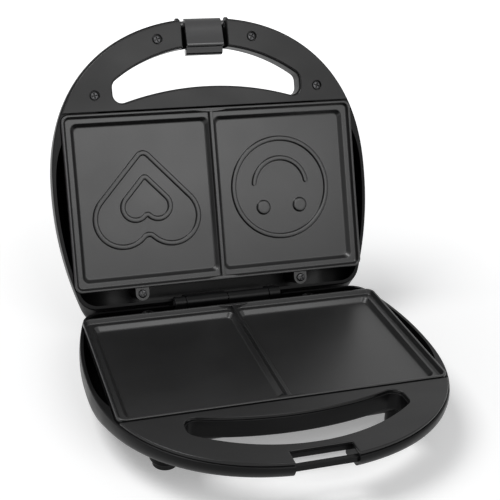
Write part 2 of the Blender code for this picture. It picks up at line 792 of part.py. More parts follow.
def cooking_plate(name):
    """Cast plate: a raised rim, a flat band, two wells and the blade between them."""
    plate = loft(name, [plate_ring(rim_edge, 0), plate_ring(0, rim_edge), plate_ring(0, skirt_depth)],
                 coated_aluminium)
    casting = [plate_ring(casting_inset, skirt_depth - plate_wall / 2, plate_corner_radius),
               plate_ring(casting_inset + casting_draft, casting_depth, plate_corner_radius)]
    join(plate, loft("casting", casting, coated_aluminium))
    cut(plate, loft("band", [plate_ring(rim_width, -cut_overrun), plate_ring(rim_width, 0),
                             plate_ring(rim_width + rim_run, rim_drop)], coated_aluminium))
    for side in (-1, 1):
        cut(plate, well_cutter(side))
    half_y = half_length - rim_width / 2
    foot_depth = rim_drop + well_drop / 2
    blade = [at_depth(rounded_rectangle(blade_half_width, half_y, blade_recess), blade_recess),
             at_depth(rounded_rectangle(blade_foot_half_width, half_y, blade_recess), foot_depth)]
    join(plate, loft("blade", blade, coated_aluminium))
    for side in (-1, 1):
        pad = lens_outline(pad_half_length, pad_width, (0, side * (half_length - rim_width)))
        join(plate, prism("pad", pad, rim_edge / 2, foot_depth))
        low = (side * tongue_place - tongue_half_width, -half_length - tongue_reach, tongue_depth)
        high = (side * tongue_place + tongue_half_width, -half_length + rim_width,
                tongue_depth + tongue_thickness)
        join(plate, box("tongue", low, high))
        place = (side * lug_place[0], lug_place[1])
        lug = box("lug", (place[0] - lug_radius, half_length - rim_width, lug_depth),
                  (place[0] + lug_radius, place[1], skirt_depth))
        join(lug, prism("lug_end", circle(lug_radius, place), lug_depth, skirt_depth))
        join(plate, lug)
        cut(plate, prism("lug_hole", circle(screw_radius + fit_gap, place, small_steps), 0,
                         skirt_depth + cut_overrun))
    join(plate, prism("clamp_boss", circle(boss_radius), casting_depth - plate_wall / 2,
                      clamp_depth - fit_gap))
    bore_top = clamp_depth + clamp_thickness - clamp_screw_length
    bore = circle(clamp_screw_radius + fit_gap, steps=small_steps)
    cut(plate, prism("clamp_bore", bore, bore_top, clamp_depth))
    return plate


def ridge(name, points, closed):
    """A half round ridge on a well's floor."""
    depth = well_depth + motif_width / 2 - motif_height
    return swept(name, at_depth(points, depth), motif_width / 2, coated_aluminium, closed, 6)


def heart_outline(half_width, steps):
    """A heart with its point towards the handle: two lobes and their tangents, rounded at dip and point."""
    radius = half_width / (1 + heart_lobe_share)
    across, tip = radius * heart_lobe_share, radius * heart_tip_share
    fillet = radius * heart_fillet_share
    dip = math.sqrt((radius + fillet) ** 2 - across ** 2)
    slope = math.atan2(tip, across) - math.asin(radius / math.hypot(tip, across))
    point = fillet / math.cos(slope) - tip
    arcs = (((0, dip), fillet, -0.5 * math.pi, -math.atan2(dip, across), steps // 6),
            ((across, 0), radius, math.pi - math.atan2(dip, across), slope - 0.5 * math.pi, steps),
            ((0, point), fillet, slope - 0.5 * math.pi, -0.5 * math.pi, steps // 6))
    right = []
    for centre, arc_radius, start, end, count in arcs:
        for step in range(count + 1):
            turn = start + (end - start) * step / count
            right.append((centre[0] + arc_radius * math.cos(turn), centre[1] + arc_radius * math.sin(turn)))
    whole = right + [(-x, y) for x, y in reversed(right[1:-1])]
    rise = heart_place[1] + (tip - radius) / 2
    pairs = zip(whole, whole[1:] + whole[:1])
    distinct = [place for place, after in pairs if math.dist(place, after) > fit_gap]
    return [(heart_place[0] + x, rise + y) for x, y in distinct]


def lid_plate():
    """The lid's plate, with the ridges that mark the bread: a heart, and a plain smiling face."""
    plate = cooking_plate("lid_plate")
    join(plate, ridge("heart", heart_outline(heart_half_width, 3 * bend_steps), True))
    core = heart_outline(heart_half_width * heart_core_share, round_steps // 2)
    join(plate, ridge("inner_heart", core, True))
    join(plate, ridge("face", circle(face_radius, face_place, 2 * round_steps), True))
    mouth = []
    for step in range(2 * bend_steps + 1):
        turn = smile_angle * (step / bend_steps - 1)
        mouth.append((face_place[0] + smile_radius * math.sin(turn),
                      face_place[1] - smile_drop - smile_radius * math.cos(turn)))
    join(plate, ridge("mouth", mouth, False))
    for side in (-1, 1):
        place = (face_place[0] + side * eye_place[0], face_place[1] + eye_place[1])
        join(plate, turned("eye", ((eye_radius * eye_top_share, well_depth - motif_height),
                                   (eye_radius, well_depth - motif_height / 2),
                                   (eye_radius, well_depth + plate_wall / 2)), place, coated_aluminium))
    return plate


# Heating

def tray_outline(inset, draft):
    """The reflector tray's wall, drawn in from just outside the plate's casting."""
    reach = casting_inset - tray_wall_clearance + inset + draft
    return rounded_rectangle(plate_width / 2 - reach, half_length - reach, tray_corner_radius)


def reflector(name):
    """Thin pressed tray, hung by its flange between the plate and the shell, with holes for the tails."""
    flange = rounded_rectangle(plate_width / 2 - tray_inset, half_length - tray_inset,
                               plate_corner_radius - tray_inset)
    rings = [at_depth(tray_outline(0, tray_draft), tray_depth),
             at_depth(tray_outline(0, 0), flange_depth),
             at_depth(flange, flange_depth),
             at_depth(flange, flange_depth + tray_thickness),
             at_depth(tray_outline(-tray_thickness, 0), flange_depth + tray_thickness),
             at_depth(tray_outline(-tray_thickness, tray_draft), tray_depth + tray_thickness)]
    tray = loft(name, rings, bare_aluminium)
    for side in (-1, 1):
        cut(tray, prism("tail_hole", circle(element_radius + tray_thickness,
                                            (side * element_tail_place, element_half_length)),
                        tray_depth - cut_overrun, tray_depth + cut_overrun))
    return tray


def element(name):
    """Tubular heater: a rounded loop under the plate, with two tails that turn down through the tray."""
    elbow = element_depth + element_bend_radius
    right = [(element_tail_place, element_half_length, -elbow - element_tail_length)]
    for step in range(bend_steps + 1):
        turn = 0.5 * math.pi * step / bend_steps
        right.append((element_tail_place + element_bend_radius * (1 - math.cos(turn)), element_half_length,
                      -elbow + element_bend_radius * math.sin(turn)))
    corner_x = element_half_width - element_corner_radius
    corner_y = element_half_length - element_corner_radius
    for sign in (1, -1):
        for step in range(bend_steps + 1):
            turn = 0.5 * math.pi * ((1 + sign) / 2 - step / bend_steps)
            right.append((corner_x + element_corner_radius * math.cos(turn),
                          sign * corner_y + element_corner_radius * math.sin(turn), -element_depth))
    left = [(-x, y, z) for x, y, z in reversed(right)]
    return swept(name, right + left, element_radius, sheath_steel)


def clamp(name):
    """Strip that holds the heater's two sides up to the plate."""
    points = rounded_rectangle(clamp_half_width, clamp_half_length, clamp_half_length / 2)
    strip = prism(name, points, clamp_depth, clamp_depth + clamp_thickness, zinc_steel)
    hole = circle(clamp_screw_radius + fit_gap, steps=small_steps)
    return cut(strip, prism("hole", hole, clamp_depth - cut_overrun, clamp_depth + cut_overrun))


def screw(name, place, head_depth, length, downwards, radius=screw_radius, head_radius=screw_head_radius,
          finish_material=None):
    """Pan head screw; head_depth is its bearing face, and downwards points its shank deeper."""
    sign = 1 if downwards else -1
    crown = head_depth - sign * screw_head_height
    shoulder = head_depth - sign * screw_head_height * head_shoulder_share
    profile = ((head_radius * head_crown_share, crown), (head_radius, shoulder), (head_radius, head_depth),
               (radius, head_depth), (radius, head_depth + sign * length))
    return turned(name, profile, place, finish_material or dark_steel, small_steps)


# Small parts

def lead_gland():
    """Bush for the mains lead, with a blind bore."""
    seat = rear_reach - gland_recess + fit_gap
    bush = lengthwise("lead_gland", ((gland_stem_radius, seat - gland_length), (gland_stem_radius, seat),
                                     (gland_radius, seat), (gland_radius, seat + gland_flange)),
                      gland_place, gland_depth, foot_rubber)
    return cut(bush, lengthwise("bore", ((gland_bore_radius, seat - gland_length / 2),
                                         (gland_bore_radius, seat + gland_flange + cut_overrun)),
                                gland_place, gland_depth, foot_rubber))


def foot(name, place):
    top = leg_bottom_depth + fit_gap
    bottom = leg_bottom_depth + foot_height
    profile = ((foot_stud_radius, leg_bottom_depth - foot_stud_height), (foot_stud_radius, top),
               (foot_radius, top), (foot_radius, bottom - rim_edge), (foot_radius - rim_edge, bottom))
    return turned(name, profile, place, foot_rubber)


def lamp(name, x, lens_material):
    """Domed lens on the lid's outside, with a stem through its wall."""
    seat = shell_depth + fit_gap
    profile = ((lamp_stem_radius, seat - lamp_stem), (lamp_stem_radius, seat), (lamp_radius, seat),
               (lamp_radius, seat + lamp_dome * 0.4), (lamp_radius * 0.8, seat + lamp_dome * 0.8),
               (lamp_radius * 0.35, seat + lamp_dome))
    return turned(name, profile, (x, lamp_back), lens_material, small_steps)


def terminal_block():
    """Ceramic block for the lead's ends, on the base's floor, with four wire ways."""
    half_x, half_y = block_size[0] / 2, block_size[1] / 2
    x, y = block_place
    top = floor_depth - fit_gap - block_size[2]
    high = (x + half_x, y + half_y, floor_depth - fit_gap)
    block = box("terminal_block", (x - half_x, y - half_y, top), high, ceramic)
    for share in wire_way_shares:
        cut(block, lengthwise("wire_way", ((wire_way_radius, y - half_y - cut_overrun),
                                           (wire_way_radius, y + half_y + cut_overrun)),
                              x + share * half_x, top + block_size[2] / 2, ceramic))
    return block


def thermal_fuse():
    depth = tray_depth + tray_thickness + fit_gap + fuse_radius
    return rod("thermal_fuse", fuse_radius, fuse_place[0] - fuse_length / 2, fuse_place[0] + fuse_length / 2,
               fuse_place[1], depth, ceramic, small_steps)


def thermostat():
    top = tray_depth + tray_thickness + fit_gap
    profile = ((thermostat_radius, top), (thermostat_radius, top + thermostat_height * 0.45),
               (thermostat_radius * 0.85, top + thermostat_height * 0.5),
               (thermostat_radius * 0.85, top + thermostat_height))
    return turned("thermostat", profile, thermostat_place, zinc_steel)


def latch_clip():
    """The clip hanging as when it is latched, its pin's axis at the mesh's y and depth of the pin."""
    points = [(-forward * latch_tab_front, -down * hook_drop) for forward, down in latch_face_shares]
    points += [(back * hook_reach, -hook_drop - down * hook_height) for back, down in hook_shares]
    points += [(-latch_back, -hook_drop), (-latch_back, -latch_neck_share * hook_drop),
               (0, -latch_barrel_radius)]
    section = [(latch_pin_back + y, latch_pin_depth + z) for y, z in points]
    clip = crosswise("latch_clip", section, latch_width / 2, latch_plastic)
    end = notch_half_width - fit_gap
    join(clip, rod("barrel", latch_barrel_radius, -end, end, latch_pin_back, latch_pin_depth))
    cut(clip, rod("bore", latch_pin_radius + fit_gap, -end - cut_overrun, end + cut_overrun, latch_pin_back,
                  latch_pin_depth, steps=small_steps))
    return clip


# Assembly

def heating(half):
    """The heater, its clamp and reflector, and the plate's screws, the same in base and lid."""
    bearing = clamp_depth + clamp_thickness + fit_gap
    made = [element(half + "_element"), clamp(half + "_element_clamp"), reflector(half + "_reflector"),
            screw(half + "_clamp_screw", (0, 0), bearing, clamp_screw_length - 2 * fit_gap, False,
                  clamp_screw_radius, zinc_head_radius, zinc_steel)]
    for side, word in ((-1, "left"), (1, "right")):
        made.append(screw(half + "_plate_screw_" + word, (side * lug_place[0], lug_place[1]),
                          lug_depth - fit_gap, screw_length, True))
    return made


def handle_screws(half, places, bearing, length, downwards):
    made = []
    for x, y in places:
        for side in (-1, 1):
            name = f"{half}_cover_screw_{len(made) + 1}"
            made.append(screw(name, (side * x, y), bearing, length, downwards))
    return made


def hang(name, place, angle, parent):
    """An empty on a joint's axis, turned about X."""
    pivot = bpy.data.objects.new(name, None)
    bpy.context.scene.collection.objects.link(pivot)
    pivot.parent = parent
    pivot.location = place
    pivot.rotation_euler = (angle, 0, 0)
    return pivot


def attach(made, pivot, origin):
    made.data.transform(Matrix.Translation(-origin))
    made.parent = pivot


base_parts = [merge_flat_faces(base_shell()), merge_flat_faces(cooking_plate("base_plate"))]
base_parts += [lead_gland(), terminal_block(), thermal_fuse()]
base_parts.append(handle_cover("base_cover", base_notch_half_width, base_notch_back, base_screw_places,
                               False))
base_parts += heating("base")
base_parts += handle_screws("base", base_screw_places, base_head_depth, base_screw_length, False)
base_parts.append(rod("hinge_pin", hinge_pin_radius, -hinge_half_width, hinge_half_width, hinge_back,
                      hinge_drop, zinc_steel))
for place, row in zip(leg_places, ("front", "rear")):
    for side, word in ((-1, "left"), (1, "right")):
        base_parts.append(foot(f"foot_{row}_{word}", (side * place[0], place[1])))

lid_parts = [merge_flat_faces(lid_shell()), merge_flat_faces(lid_plate()), thermostat()]
lid_parts.append(handle_cover("lid_cover", notch_half_width, notch_back, lid_screw_places, True))
lid_parts += heating("lid")
lid_parts += handle_screws("lid", lid_screw_places, cover_depth + screw_sink + screw_head_height,
                           screw_length, True)
lid_parts.append(lamp("power_lamp", lamp_places[0], red_lens))
lid_parts.append(lamp("ready_lamp", lamp_places[1], green_lens))
pin_end = notch_half_width + latch_pin_grip - fit_gap
lid_parts.append(rod("latch_pin", latch_pin_radius, -pin_end, pin_end, latch_pin_back, latch_pin_depth,
                     zinc_steel, small_steps))
clip = latch_clip()

upside_down = Matrix.Translation((0, 0, plate_gap / 2)) @ Matrix.Diagonal((1, 1, -1, 1))
for made in base_parts:
    made.data.transform(Matrix.Translation((0, 0, -plate_gap / 2)))
for made in lid_parts + [clip]:
    made.data.transform(upside_down)
    made.data.flip_normals()

machine = hang("machine", (0, 0, 0), 0, None)
hinge_axis = Vector((0, hinge_back, -plate_gap / 2 - hinge_drop))
latch_axis = Vector((0, latch_pin_back, plate_gap / 2 + latch_pin_depth))
lid_pivot = hang("lid_pivot", hinge_axis, -open_angle(), machine)
latch_pivot = hang("latch_pivot", latch_axis - hinge_axis, latch_swing_angle, lid_pivot)
for made in base_parts:
    made.parent = machine
for made in lid_parts:
    attach(made, lid_pivot, hinge_axis)
attach(clip, latch_pivot, latch_axis)

for made in base_parts + lid_parts + [clip]:
    made.data.shade_smooth()
    made.data.set_sharp_from_angle(angle=smooth_angle)

bpy.context.view_layer.update()
corners = [made.matrix_world @ vertex.co for made in base_parts + lid_parts + [clip]
           for vertex in made.data.vertices]
lowest = Vector([min(corner[axis] for corner in corners) for axis in range(3)])
highest = Vector([max(corner[axis] for corner in corners) for axis in range(3)])
machine.location = (-(lowest.x + highest.x) / 2, -(lowest.y + highest.y) / 2, -lowest.z)
bpy.context.view_layer.update()
print("opens", round(math.degrees(open_angle()), 2), "degrees; size", [round(v, 4) for v in highest - lowest])
print("moved by", [round(v, 5) for v in machine.location])
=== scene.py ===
"""Looks of a two-slice sandwich maker that stands open on its feet.

The shells, handle covers, cooking plates, latch clip, screws, feet, lamps and gland are modelled again here with
rounded edges, in the places of the construction's solids. The pieces inside keep their solids and get a finish.
Metres, +X to the right, -Y to the handles, +Z up. Depths are measured from the plane of a plate's rim.
"""

import json
import math

import bmesh
import bpy
from bpy.props import FloatProperty, FloatVectorProperty, PointerProperty
from bpy.types import NodeSocket, Operator, Panel, PropertyGroup
from mathutils import Matrix, Vector

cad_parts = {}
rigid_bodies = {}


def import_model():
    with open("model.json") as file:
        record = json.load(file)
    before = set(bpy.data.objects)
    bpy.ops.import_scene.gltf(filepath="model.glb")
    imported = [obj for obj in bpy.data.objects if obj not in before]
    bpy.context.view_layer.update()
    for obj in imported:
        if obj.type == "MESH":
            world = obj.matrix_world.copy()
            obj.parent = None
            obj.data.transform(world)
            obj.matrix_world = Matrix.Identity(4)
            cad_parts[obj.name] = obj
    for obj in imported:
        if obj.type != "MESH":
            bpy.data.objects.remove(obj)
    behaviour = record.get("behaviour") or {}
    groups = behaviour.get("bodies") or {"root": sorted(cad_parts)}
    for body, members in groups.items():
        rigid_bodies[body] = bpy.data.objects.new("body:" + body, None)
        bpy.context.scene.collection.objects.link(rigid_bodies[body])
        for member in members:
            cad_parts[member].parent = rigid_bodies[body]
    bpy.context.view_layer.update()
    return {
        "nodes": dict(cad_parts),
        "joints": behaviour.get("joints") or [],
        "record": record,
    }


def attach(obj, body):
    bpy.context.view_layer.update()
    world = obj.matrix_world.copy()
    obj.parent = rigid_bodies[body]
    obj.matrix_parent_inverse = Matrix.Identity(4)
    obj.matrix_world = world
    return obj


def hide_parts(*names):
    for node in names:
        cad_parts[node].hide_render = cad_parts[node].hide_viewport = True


bl_info = {
    "name": "Sandwich Maker",
    "version": (1, 0, 0),
    "blender": (4, 5, 0),
    "location": "3D View > Sidebar > Sandwich Maker",
    "description": "Models a two-slice sandwich maker, standing open, with its finishes and a plain studio",
    "category": "Object",
}

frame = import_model()

# Fits, in metres
fit_gap = 0.0003
overrun = 0.004
plate_gap = 0.0006
weld_distance = fit_gap / 30

# Shell section: (share of the depth, share of the reach)
side_shares = ((0.09, 0.996), (0.24, 1.0), (0.36, 1.0), (0.46, 0.996), (0.60, 0.984), (0.75, 0.951),
               (0.87, 0.898), (0.95, 0.838), (1.0, 0.765))
rear_shares = ((0.09, 0.852), (0.24, 0.890), (0.42, 0.952), (0.60, 1.0), (0.75, 0.998), (0.87, 0.965),
               (0.95, 0.912), (1.0, 0.850))
handle_shares = ((0.20, 0.994), (0.33, 1.0), (0.60, 0.990), (0.80, 0.970), (0.93, 0.938), (1.0, 0.900))
bowl_shares = ((0.09, 1.0), (0.46, 1.0), (0.60, 0.965), (0.72, 0.880), (0.84, 0.770), (0.94, 0.660),
               (1.0, 0.560))
handle_levels = (0.28, 0.40, 0.52, 0.64, 0.74, 0.82, 0.88, 0.93, 0.965, 1.0)
bowl_levels = (0.465, 0.50, 0.55, 0.60, 0.66, 0.72, 0.78, 0.84, 0.88, 0.92, 0.95, 0.975, 0.99, 1.0)
cavity_levels = (0.60, 0.72, 0.84, 0.94, 1.0)
handle_powers = (2.2, 2.4)
bowl_powers = (6.0, 2.5)

# Places that come in pairs: (half the distance between them, y)
lid_screw_places = ((0.0360, -0.1150), (0.0850, -0.0765))
base_screw_places = ((0.0360, -0.1105), (0.0820, -0.0790))
leg_places = ((0.0800, -0.0600), (0.0700, 0.0650))
lug_place = (0.0615, 0.0685)
lamp_place = (0.011, -0.030)

# Sizes that several pieces share
lug_radius, lug_thickness = 0.005, 0.002
hinge_pin_radius, latch_pin_radius = 0.0020, 0.0013
bar_top, bar_height = 0.0047, 0.0040
notch_backs = {"base": -0.116, "lid": -0.1075}
gland_x, gland_depth, gland_recess = -0.045, 0.0255, 0.0008
screw_sink, screw_head_radius, screw_head_height = 0.0006, 0.0031, 0.0014
small_edge = 0.0003

# Latch clip: face and hook, as shares of their sizes
latch_face_shares = ((0.0, -0.22), (0.46, -0.19), (0.76, -0.06), (0.83, 0.10), (0.86, 0.38), (0.90, 0.62),
                     (0.97, 0.82), (0.99, 0.91), (0.86, 0.98), (0.46, 0.97), (0.34, 1.02))
hook_shares = ((-0.23, 0.75), (0.23, 1.0), (1.0, 0.90), (1.0, 0.0))
latch_neck_share = 0.44

# Sections: (share of the half width or radius, share of the height)
ridge_shares = ((1.19, -0.30), (1.18, 0.0), (1.10, 0.06), (1.03, 0.20), (0.92, 0.55), (0.83, 0.80), (0.75, 0.91),
                (0.62, 0.965), (0.42, 0.99), (0.18, 1.0))
eye_shares = ((0.50, 1.0), (0.72, 0.99), (0.80, 0.965), (0.86, 0.90), (0.90, 0.76), (0.96, 0.40), (1.0, 0.10),
              (1.04, 0.0), (1.04, -0.30))
screw_head_shares = ((0.30, 1.0), (0.62, 0.98), (0.80, 0.90), (0.92, 0.74), (0.985, 0.5), (1.0, 0.2), (1.0, 0.0))

# Steps of the curves
plan_steps = (40, 14, 8)
round_steps = 48
small_steps = 32
bend_steps = 10
edge_steps = 4
smooth_angle = math.radians(34.0)
large_face_weight = 80
dome_angles = tuple(map(math.radians, (78, 66, 54, 42, 30, 18, 8)))
quarter_turn = 0.5 * math.pi


# Settings; each one's label in the panel is its own name

def length(about, default):
    return FloatProperty(description=about, default=default, unit="LENGTH", subtype="DISTANCE", precision=5)


def angle(about, degrees):
    return FloatProperty(description=about, default=math.radians(degrees), unit="ROTATION", subtype="ANGLE")


def number(about, default):
    return FloatProperty(description=about, default=default, precision=4)


def colour(about, *default):
    return FloatVectorProperty(description=about, default=default, size=3, subtype="COLOR", min=0.0, max=1.0)


class ShellSizes(PropertyGroup):
    """Sizes of the two moulded shells."""
    half_width: length("From the middle to the shell's side", 0.1205)
    handle_reach: length("From the plate's middle to the handle's front", 0.130)
    bowl_reach: length("From the plate's middle to the bowl's front", 0.0705)
    rear_reach: length("From the plate's middle to the rear wall", 0.090)
    widest_back: length("Where along Y the shell is widest", -0.006)
    side_radius: length("Radius of the bowed sides", 0.245)
    rear_corner_radius: length("Radius of the rear corners in plan", 0.014)
    depth: length("From the plate's rim to the shell's floor", 0.0335)
    rim_depth: length("From the plate's rim to the shell's rim", 0.003)
    handle_depth: length("From the plate's rim to the handle's underside", 0.015)
    wall: length("Thickness of the moulded walls", 0.0025)
    floor_wall: length("Thickness of the moulded floor", 0.0026)
    edge_radius: length("Rounding of the moulded edges", 0.0006)
    leg_radius: length("Radius of the four legs", 0.010)
    leg_bottom_depth: length("From the plate's rim to the legs' ends", 0.035)


class HandleSizes(PropertyGroup):
    """Sizes of the handles' openings and covers."""
    front_reach: length("Reach of the finger opening's front edge", 0.1095)
    rear_reach: length("Reach of the finger opening's rear edge", 0.080)
    front_radius: length("Radius of the front edge", 0.1165)
    rear_radius: length("Radius of the rear edge", 0.220)
    half_width: length("Half the finger opening's width", 0.0715)
    end_radius: length("Radius of the opening's ends", 0.0065)
    cover_thickness: length("Thickness of the handle's face", 0.0019)
    cover_inset: length("Ledge of the shell that shows round the cover", 0.0009)
    cover_edge: length("Rounding of the cover's edges", 0.0007)


class PlateSizes(PropertyGroup):
    """Sizes of the cast cooking plates."""
    width: length("Width of a plate", 0.2212)
    depth: length("Front to rear length of a plate", 0.1276)
    corner_radius: length("Radius of the plate's corners", 0.006)
    clearance: length("Gap between plate and shell", 0.0006)
    rim_width: length("Width of the raised rim's top", 0.0017)
    rim_run: length("How far the rim's inner side slopes", 0.0012)
    rim_drop: length("From the rim's top to the flat band", 0.0034)
    band_width: length("Width of the flat band", 0.0036)
    well_drop: length("From the band to the well's floor", 0.0034)
    well_run: length("How far the well's sides slope", 0.0024)
    well_radius: length("Radius of the well's corners", 0.0045)
    skirt_depth: length("Depth of the plate's outer wall", 0.006)
    thickness: length("Thickness of the casting", 0.0026)
    divider: length("Half width of the land between the wells", 0.0019)
    motif_height: length("Height of the ridges that mark the bread", 0.0018)
    motif_width: length("Width of the ridges that mark the bread", 0.0035)
    heart_half_width: length("Half the heart's width", 0.0385)
    face_radius: length("Radius of the smiling face", 0.037)


class HingeSizes(PropertyGroup):
    """Sizes of the hinge and of the latch."""
    back: length("Y of the hinge pin", 0.0773)
    drop: length("Depth of the hinge pin", 0.0027)
    barrel_radius: length("Radius of the knuckles", 0.0046)
    half_width: length("Half the hinge's width", 0.0405)
    stub_width: length("Width of the outer knuckles", 0.0085)
    relief_radius: length("Room round the other half's knuckles", 0.0064)
    knuckle_gap: length("Gap between knuckles", 0.0004)
    opening: angle("How far the lid stands open", 112.9665)
    latch_back: length("Y of the latch's pin", -0.1262)
    latch_depth: length("Depth of the latch's pin", 0.0085)
    latch_width: length("Width of the latch clip", 0.028)
    lid_notch_half_width: length("Half width of the lid's notch", 0.0175)
    base_notch_half_width: length("Half width of the base's notch", 0.020)
    swing: angle("How far the clip is folded back from where it would hook", 84.0)


class Finishes(PropertyGroup):
    """Colours of the finishes."""
    shell: colour("Black moulded plastic", 0.0034, 0.0034, 0.0036)
    cover: colour("Satin plastic of the handle's faces", 0.010, 0.010, 0.0102)
    latch: colour("Glossy plastic of the latch clip", 0.020, 0.020, 0.021)
    coating: colour("Non-stick coating of the plates", 0.0070, 0.0070, 0.0072)
    aluminium: colour("Pressed sheet inside", 0.70, 0.71, 0.72)
    sheath: colour("Sheath of the heating elements", 0.30, 0.29, 0.28)
    zinc: colour("Plated steel", 0.48, 0.48, 0.50)
    screw: colour("Blackened steel", 0.060, 0.060, 0.062)
    rubber: colour("Feet and gland", 0.016, 0.016, 0.016)
    red: colour("Lens of the power lamp", 0.60, 0.03, 0.02)
    green: colour("Lens of the ready lamp", 0.04, 0.45, 0.08)
    ceramic: colour("Terminal block and fuse", 0.75, 0.73, 0.68)


class StageSettings(PropertyGroup):
    """Camera, light and floor."""
    azimuth: angle("Camera's turn from straight in front", -18.96)
    elevation: angle("Camera's height over the level", 25.29)
    roll: angle("Camera's turn about its view", 2.9)
    distance: length("From the camera to what it looks at", 0.68833)
    target: FloatVectorProperty(description="Point that the camera looks at", default=(-0.01048, -0.0218, 0.11251),
                                size=3, subtype="TRANSLATION")
    lens: number("Focal length in millimetres on a 36 mm sensor", 76.64)
    key: number("Strength of the soft light in front, which the plates and handles mirror", 4.9)
    top: number("Strength of the soft light overhead", 15.0)
    world: number("Strength of the even light all round", 0.15)
    floor: colour("Pale floor", 0.85, 0.85, 0.85)
    # The floor's glow by the machine, kept low there as painted shade under and round the machine
    lift: number("How much paler the floor looks than it is lit, by the machine", 0.28)


def settings(name):
    return getattr(bpy.context.scene, "sandwich_" + name)


# Outlines

def both_sides(places):
    """The places on the left and on the right, of pairs of (half the distance between them, y)."""
    return [(side * x, y) for x, y in places for side in (-1, 1)]


def mirrored(right, first=1, last=None):
    """A closed outline from its right half, without repeating the points on the middle line."""
    return right + [(-x, y) for x, y in reversed(right[first:last])]


def share_at(table, share):
    """The value of a table of (place, value) shares, on a smooth line that never overshoots its points."""
    share = min(max(share, table[0][0]), table[-1][0])
    slopes = [(b[1] - a[1]) / (b[0] - a[0]) for a, b in zip(table, table[1:])]
    index = next(i for i, point in enumerate(table[1:]) if share <= point[0])

    def tangent(place):
        before, after = slopes[max(place - 1, 0)], slopes[min(place, len(slopes) - 1)]
        return 0.0 if before * after <= 0 else 2 * before * after / (before + after)

    (low, first), (high, second) = table[index], table[index + 1]
    run = high - low
    t = (share - low) / run
    return (first * (1 + 2 * t) * (1 - t) ** 2 + tangent(index) * run * t * (1 - t) ** 2
            + second * t * t * (3 - 2 * t) + tangent(index + 1) * run * t * t * (t - 1))


def arc(centre, radius, start, end, steps, last=True):
    """Points on an arc between two angles, with or without its last one."""
    turns = [start + (end - start) * step / steps for step in range(steps + last)]
    return [(centre[0] + radius * math.cos(turn), centre[1] + radius * math.sin(turn)) for turn in turns]


def circle(radius, place=(0.0, 0.0), steps=round_steps):
    return arc(place, radius, 0, 2 * math.pi, steps, False)


def rounded_rectangle(half_x, half_y, radius, steps=bend_steps):
    points = []
    for index, (x, y) in enumerate(((1, -1), (1, 1), (-1, 1), (-1, -1))):
        corner = (x * (half_x - radius), y * (half_y - radius))
        points += arc(corner, radius, (index - 1) * quarter_turn, index * quarter_turn, steps)
    return points


def plan_outline(half_width, front_reach, back_reach, powers):
    """Closed plan line: a rounded front, bowed sides and filleted rear corners."""
    sizes = settings("shell")
    bow, corner, middle = sizes.side_radius, sizes.rear_corner_radius, sizes.widest_back
    front_steps, side_steps, corner_steps = plan_steps
    half = []
    for step in range(front_steps):
        turn = quarter_turn * step / front_steps
        half.append((half_width * math.sin(turn) ** (2 / powers[0]),
                     middle - (front_reach + middle) * math.cos(turn) ** (2 / powers[1])))
    lean = math.asin((back_reach - corner - middle) / (bow - corner))
    corner_x = half_width - bow + (bow - corner) * math.cos(lean)
    half += arc((half_width - bow, middle), bow, 0, lean, side_steps, False)
    return mirrored(half + arc((corner_x, back_reach - corner), corner, lean, quarter_turn, corner_steps))


def finger_outline(grow):
    """The crescent finger opening: two arcs joined by rounded ends, grown outwards by grow."""
    sizes = settings("handle")
    front, rear, end = sizes.front_radius + grow, sizes.rear_radius - grow, sizes.end_radius + grow
    front_centre = sizes.front_radius - sizes.front_reach
    rear_centre = sizes.rear_radius - sizes.rear_reach
    end_x = sizes.half_width + grow - end
    front_y = front_centre - math.sqrt((front - end) ** 2 - end_x ** 2)
    rear_y = rear_centre - math.sqrt((rear + end) ** 2 - end_x ** 2)
    front_lean = math.atan2(end_x, front_centre - front_y) - quarter_turn
    rear_lean = math.atan2(end_x, rear_centre - rear_y)
    steps = plan_steps[0] // 2
    right = arc((0, front_centre), front, -quarter_turn, front_lean, steps, False)
    right += arc((end_x, front_y), end, front_lean, 0, bend_steps)
    right += arc((end_x, rear_y), end, 0, quarter_turn + rear_lean, bend_steps)
    right += arc((0, rear_centre), rear, rear_lean - quarter_turn, -quarter_turn, steps)[1:]
    return mirrored(right, 1, -1)


def quarter_round(radius, steps=edge_steps):
    """(inwards, down) points of a rounded edge, from its flat top to its side."""
    turns = [quarter_turn * step / steps for step in range(steps + 1)]
    return [(radius * (1 - math.sin(turn)), radius * (1 - math.cos(turn))) for turn in turns]


def rounded(radius, at, edge, sign=1):
    """(radius, place) points round a turned body's edge, which starts at a place or, with sign -1, ends there."""
    return [(radius - inwards, at + sign * down) for inwards, down in quarter_round(edge)][::sign]


def smooth_line(points, steps=6):
    """A smooth open line through the points."""
    line = []
    padded = [points[0]] + list(points) + [points[-1]]
    for a, b, c, d in zip(padded, padded[1:], padded[2:], padded[3:]):
        for t in (step / steps for step in range(steps)):
            line.append(tuple(0.5 * (2 * q + (r - p) * t + (2 * p - 5 * q + 4 * r - s) * t * t
                                     + (3 * q - p - 3 * r + s) * t ** 3) for p, q, r, s in zip(a, b, c, d)))
    return line + [tuple(points[-1])]


# Mesh tools

def at_depth(points, depth):
    return [(x, y, -depth) for x, y in points]


def edge_rings(outline, depth, radius, sign=1):
    """Rings of outline(inset) round an edge, from its flat at the depth to its side."""
    return [at_depth(outline(inset), depth + sign * down) for inset, down in quarter_round(radius)]


def in_scene(name, data):
    made = bpy.data.objects.new(name, data)
    bpy.context.scene.collection.objects.link(made)
    return made


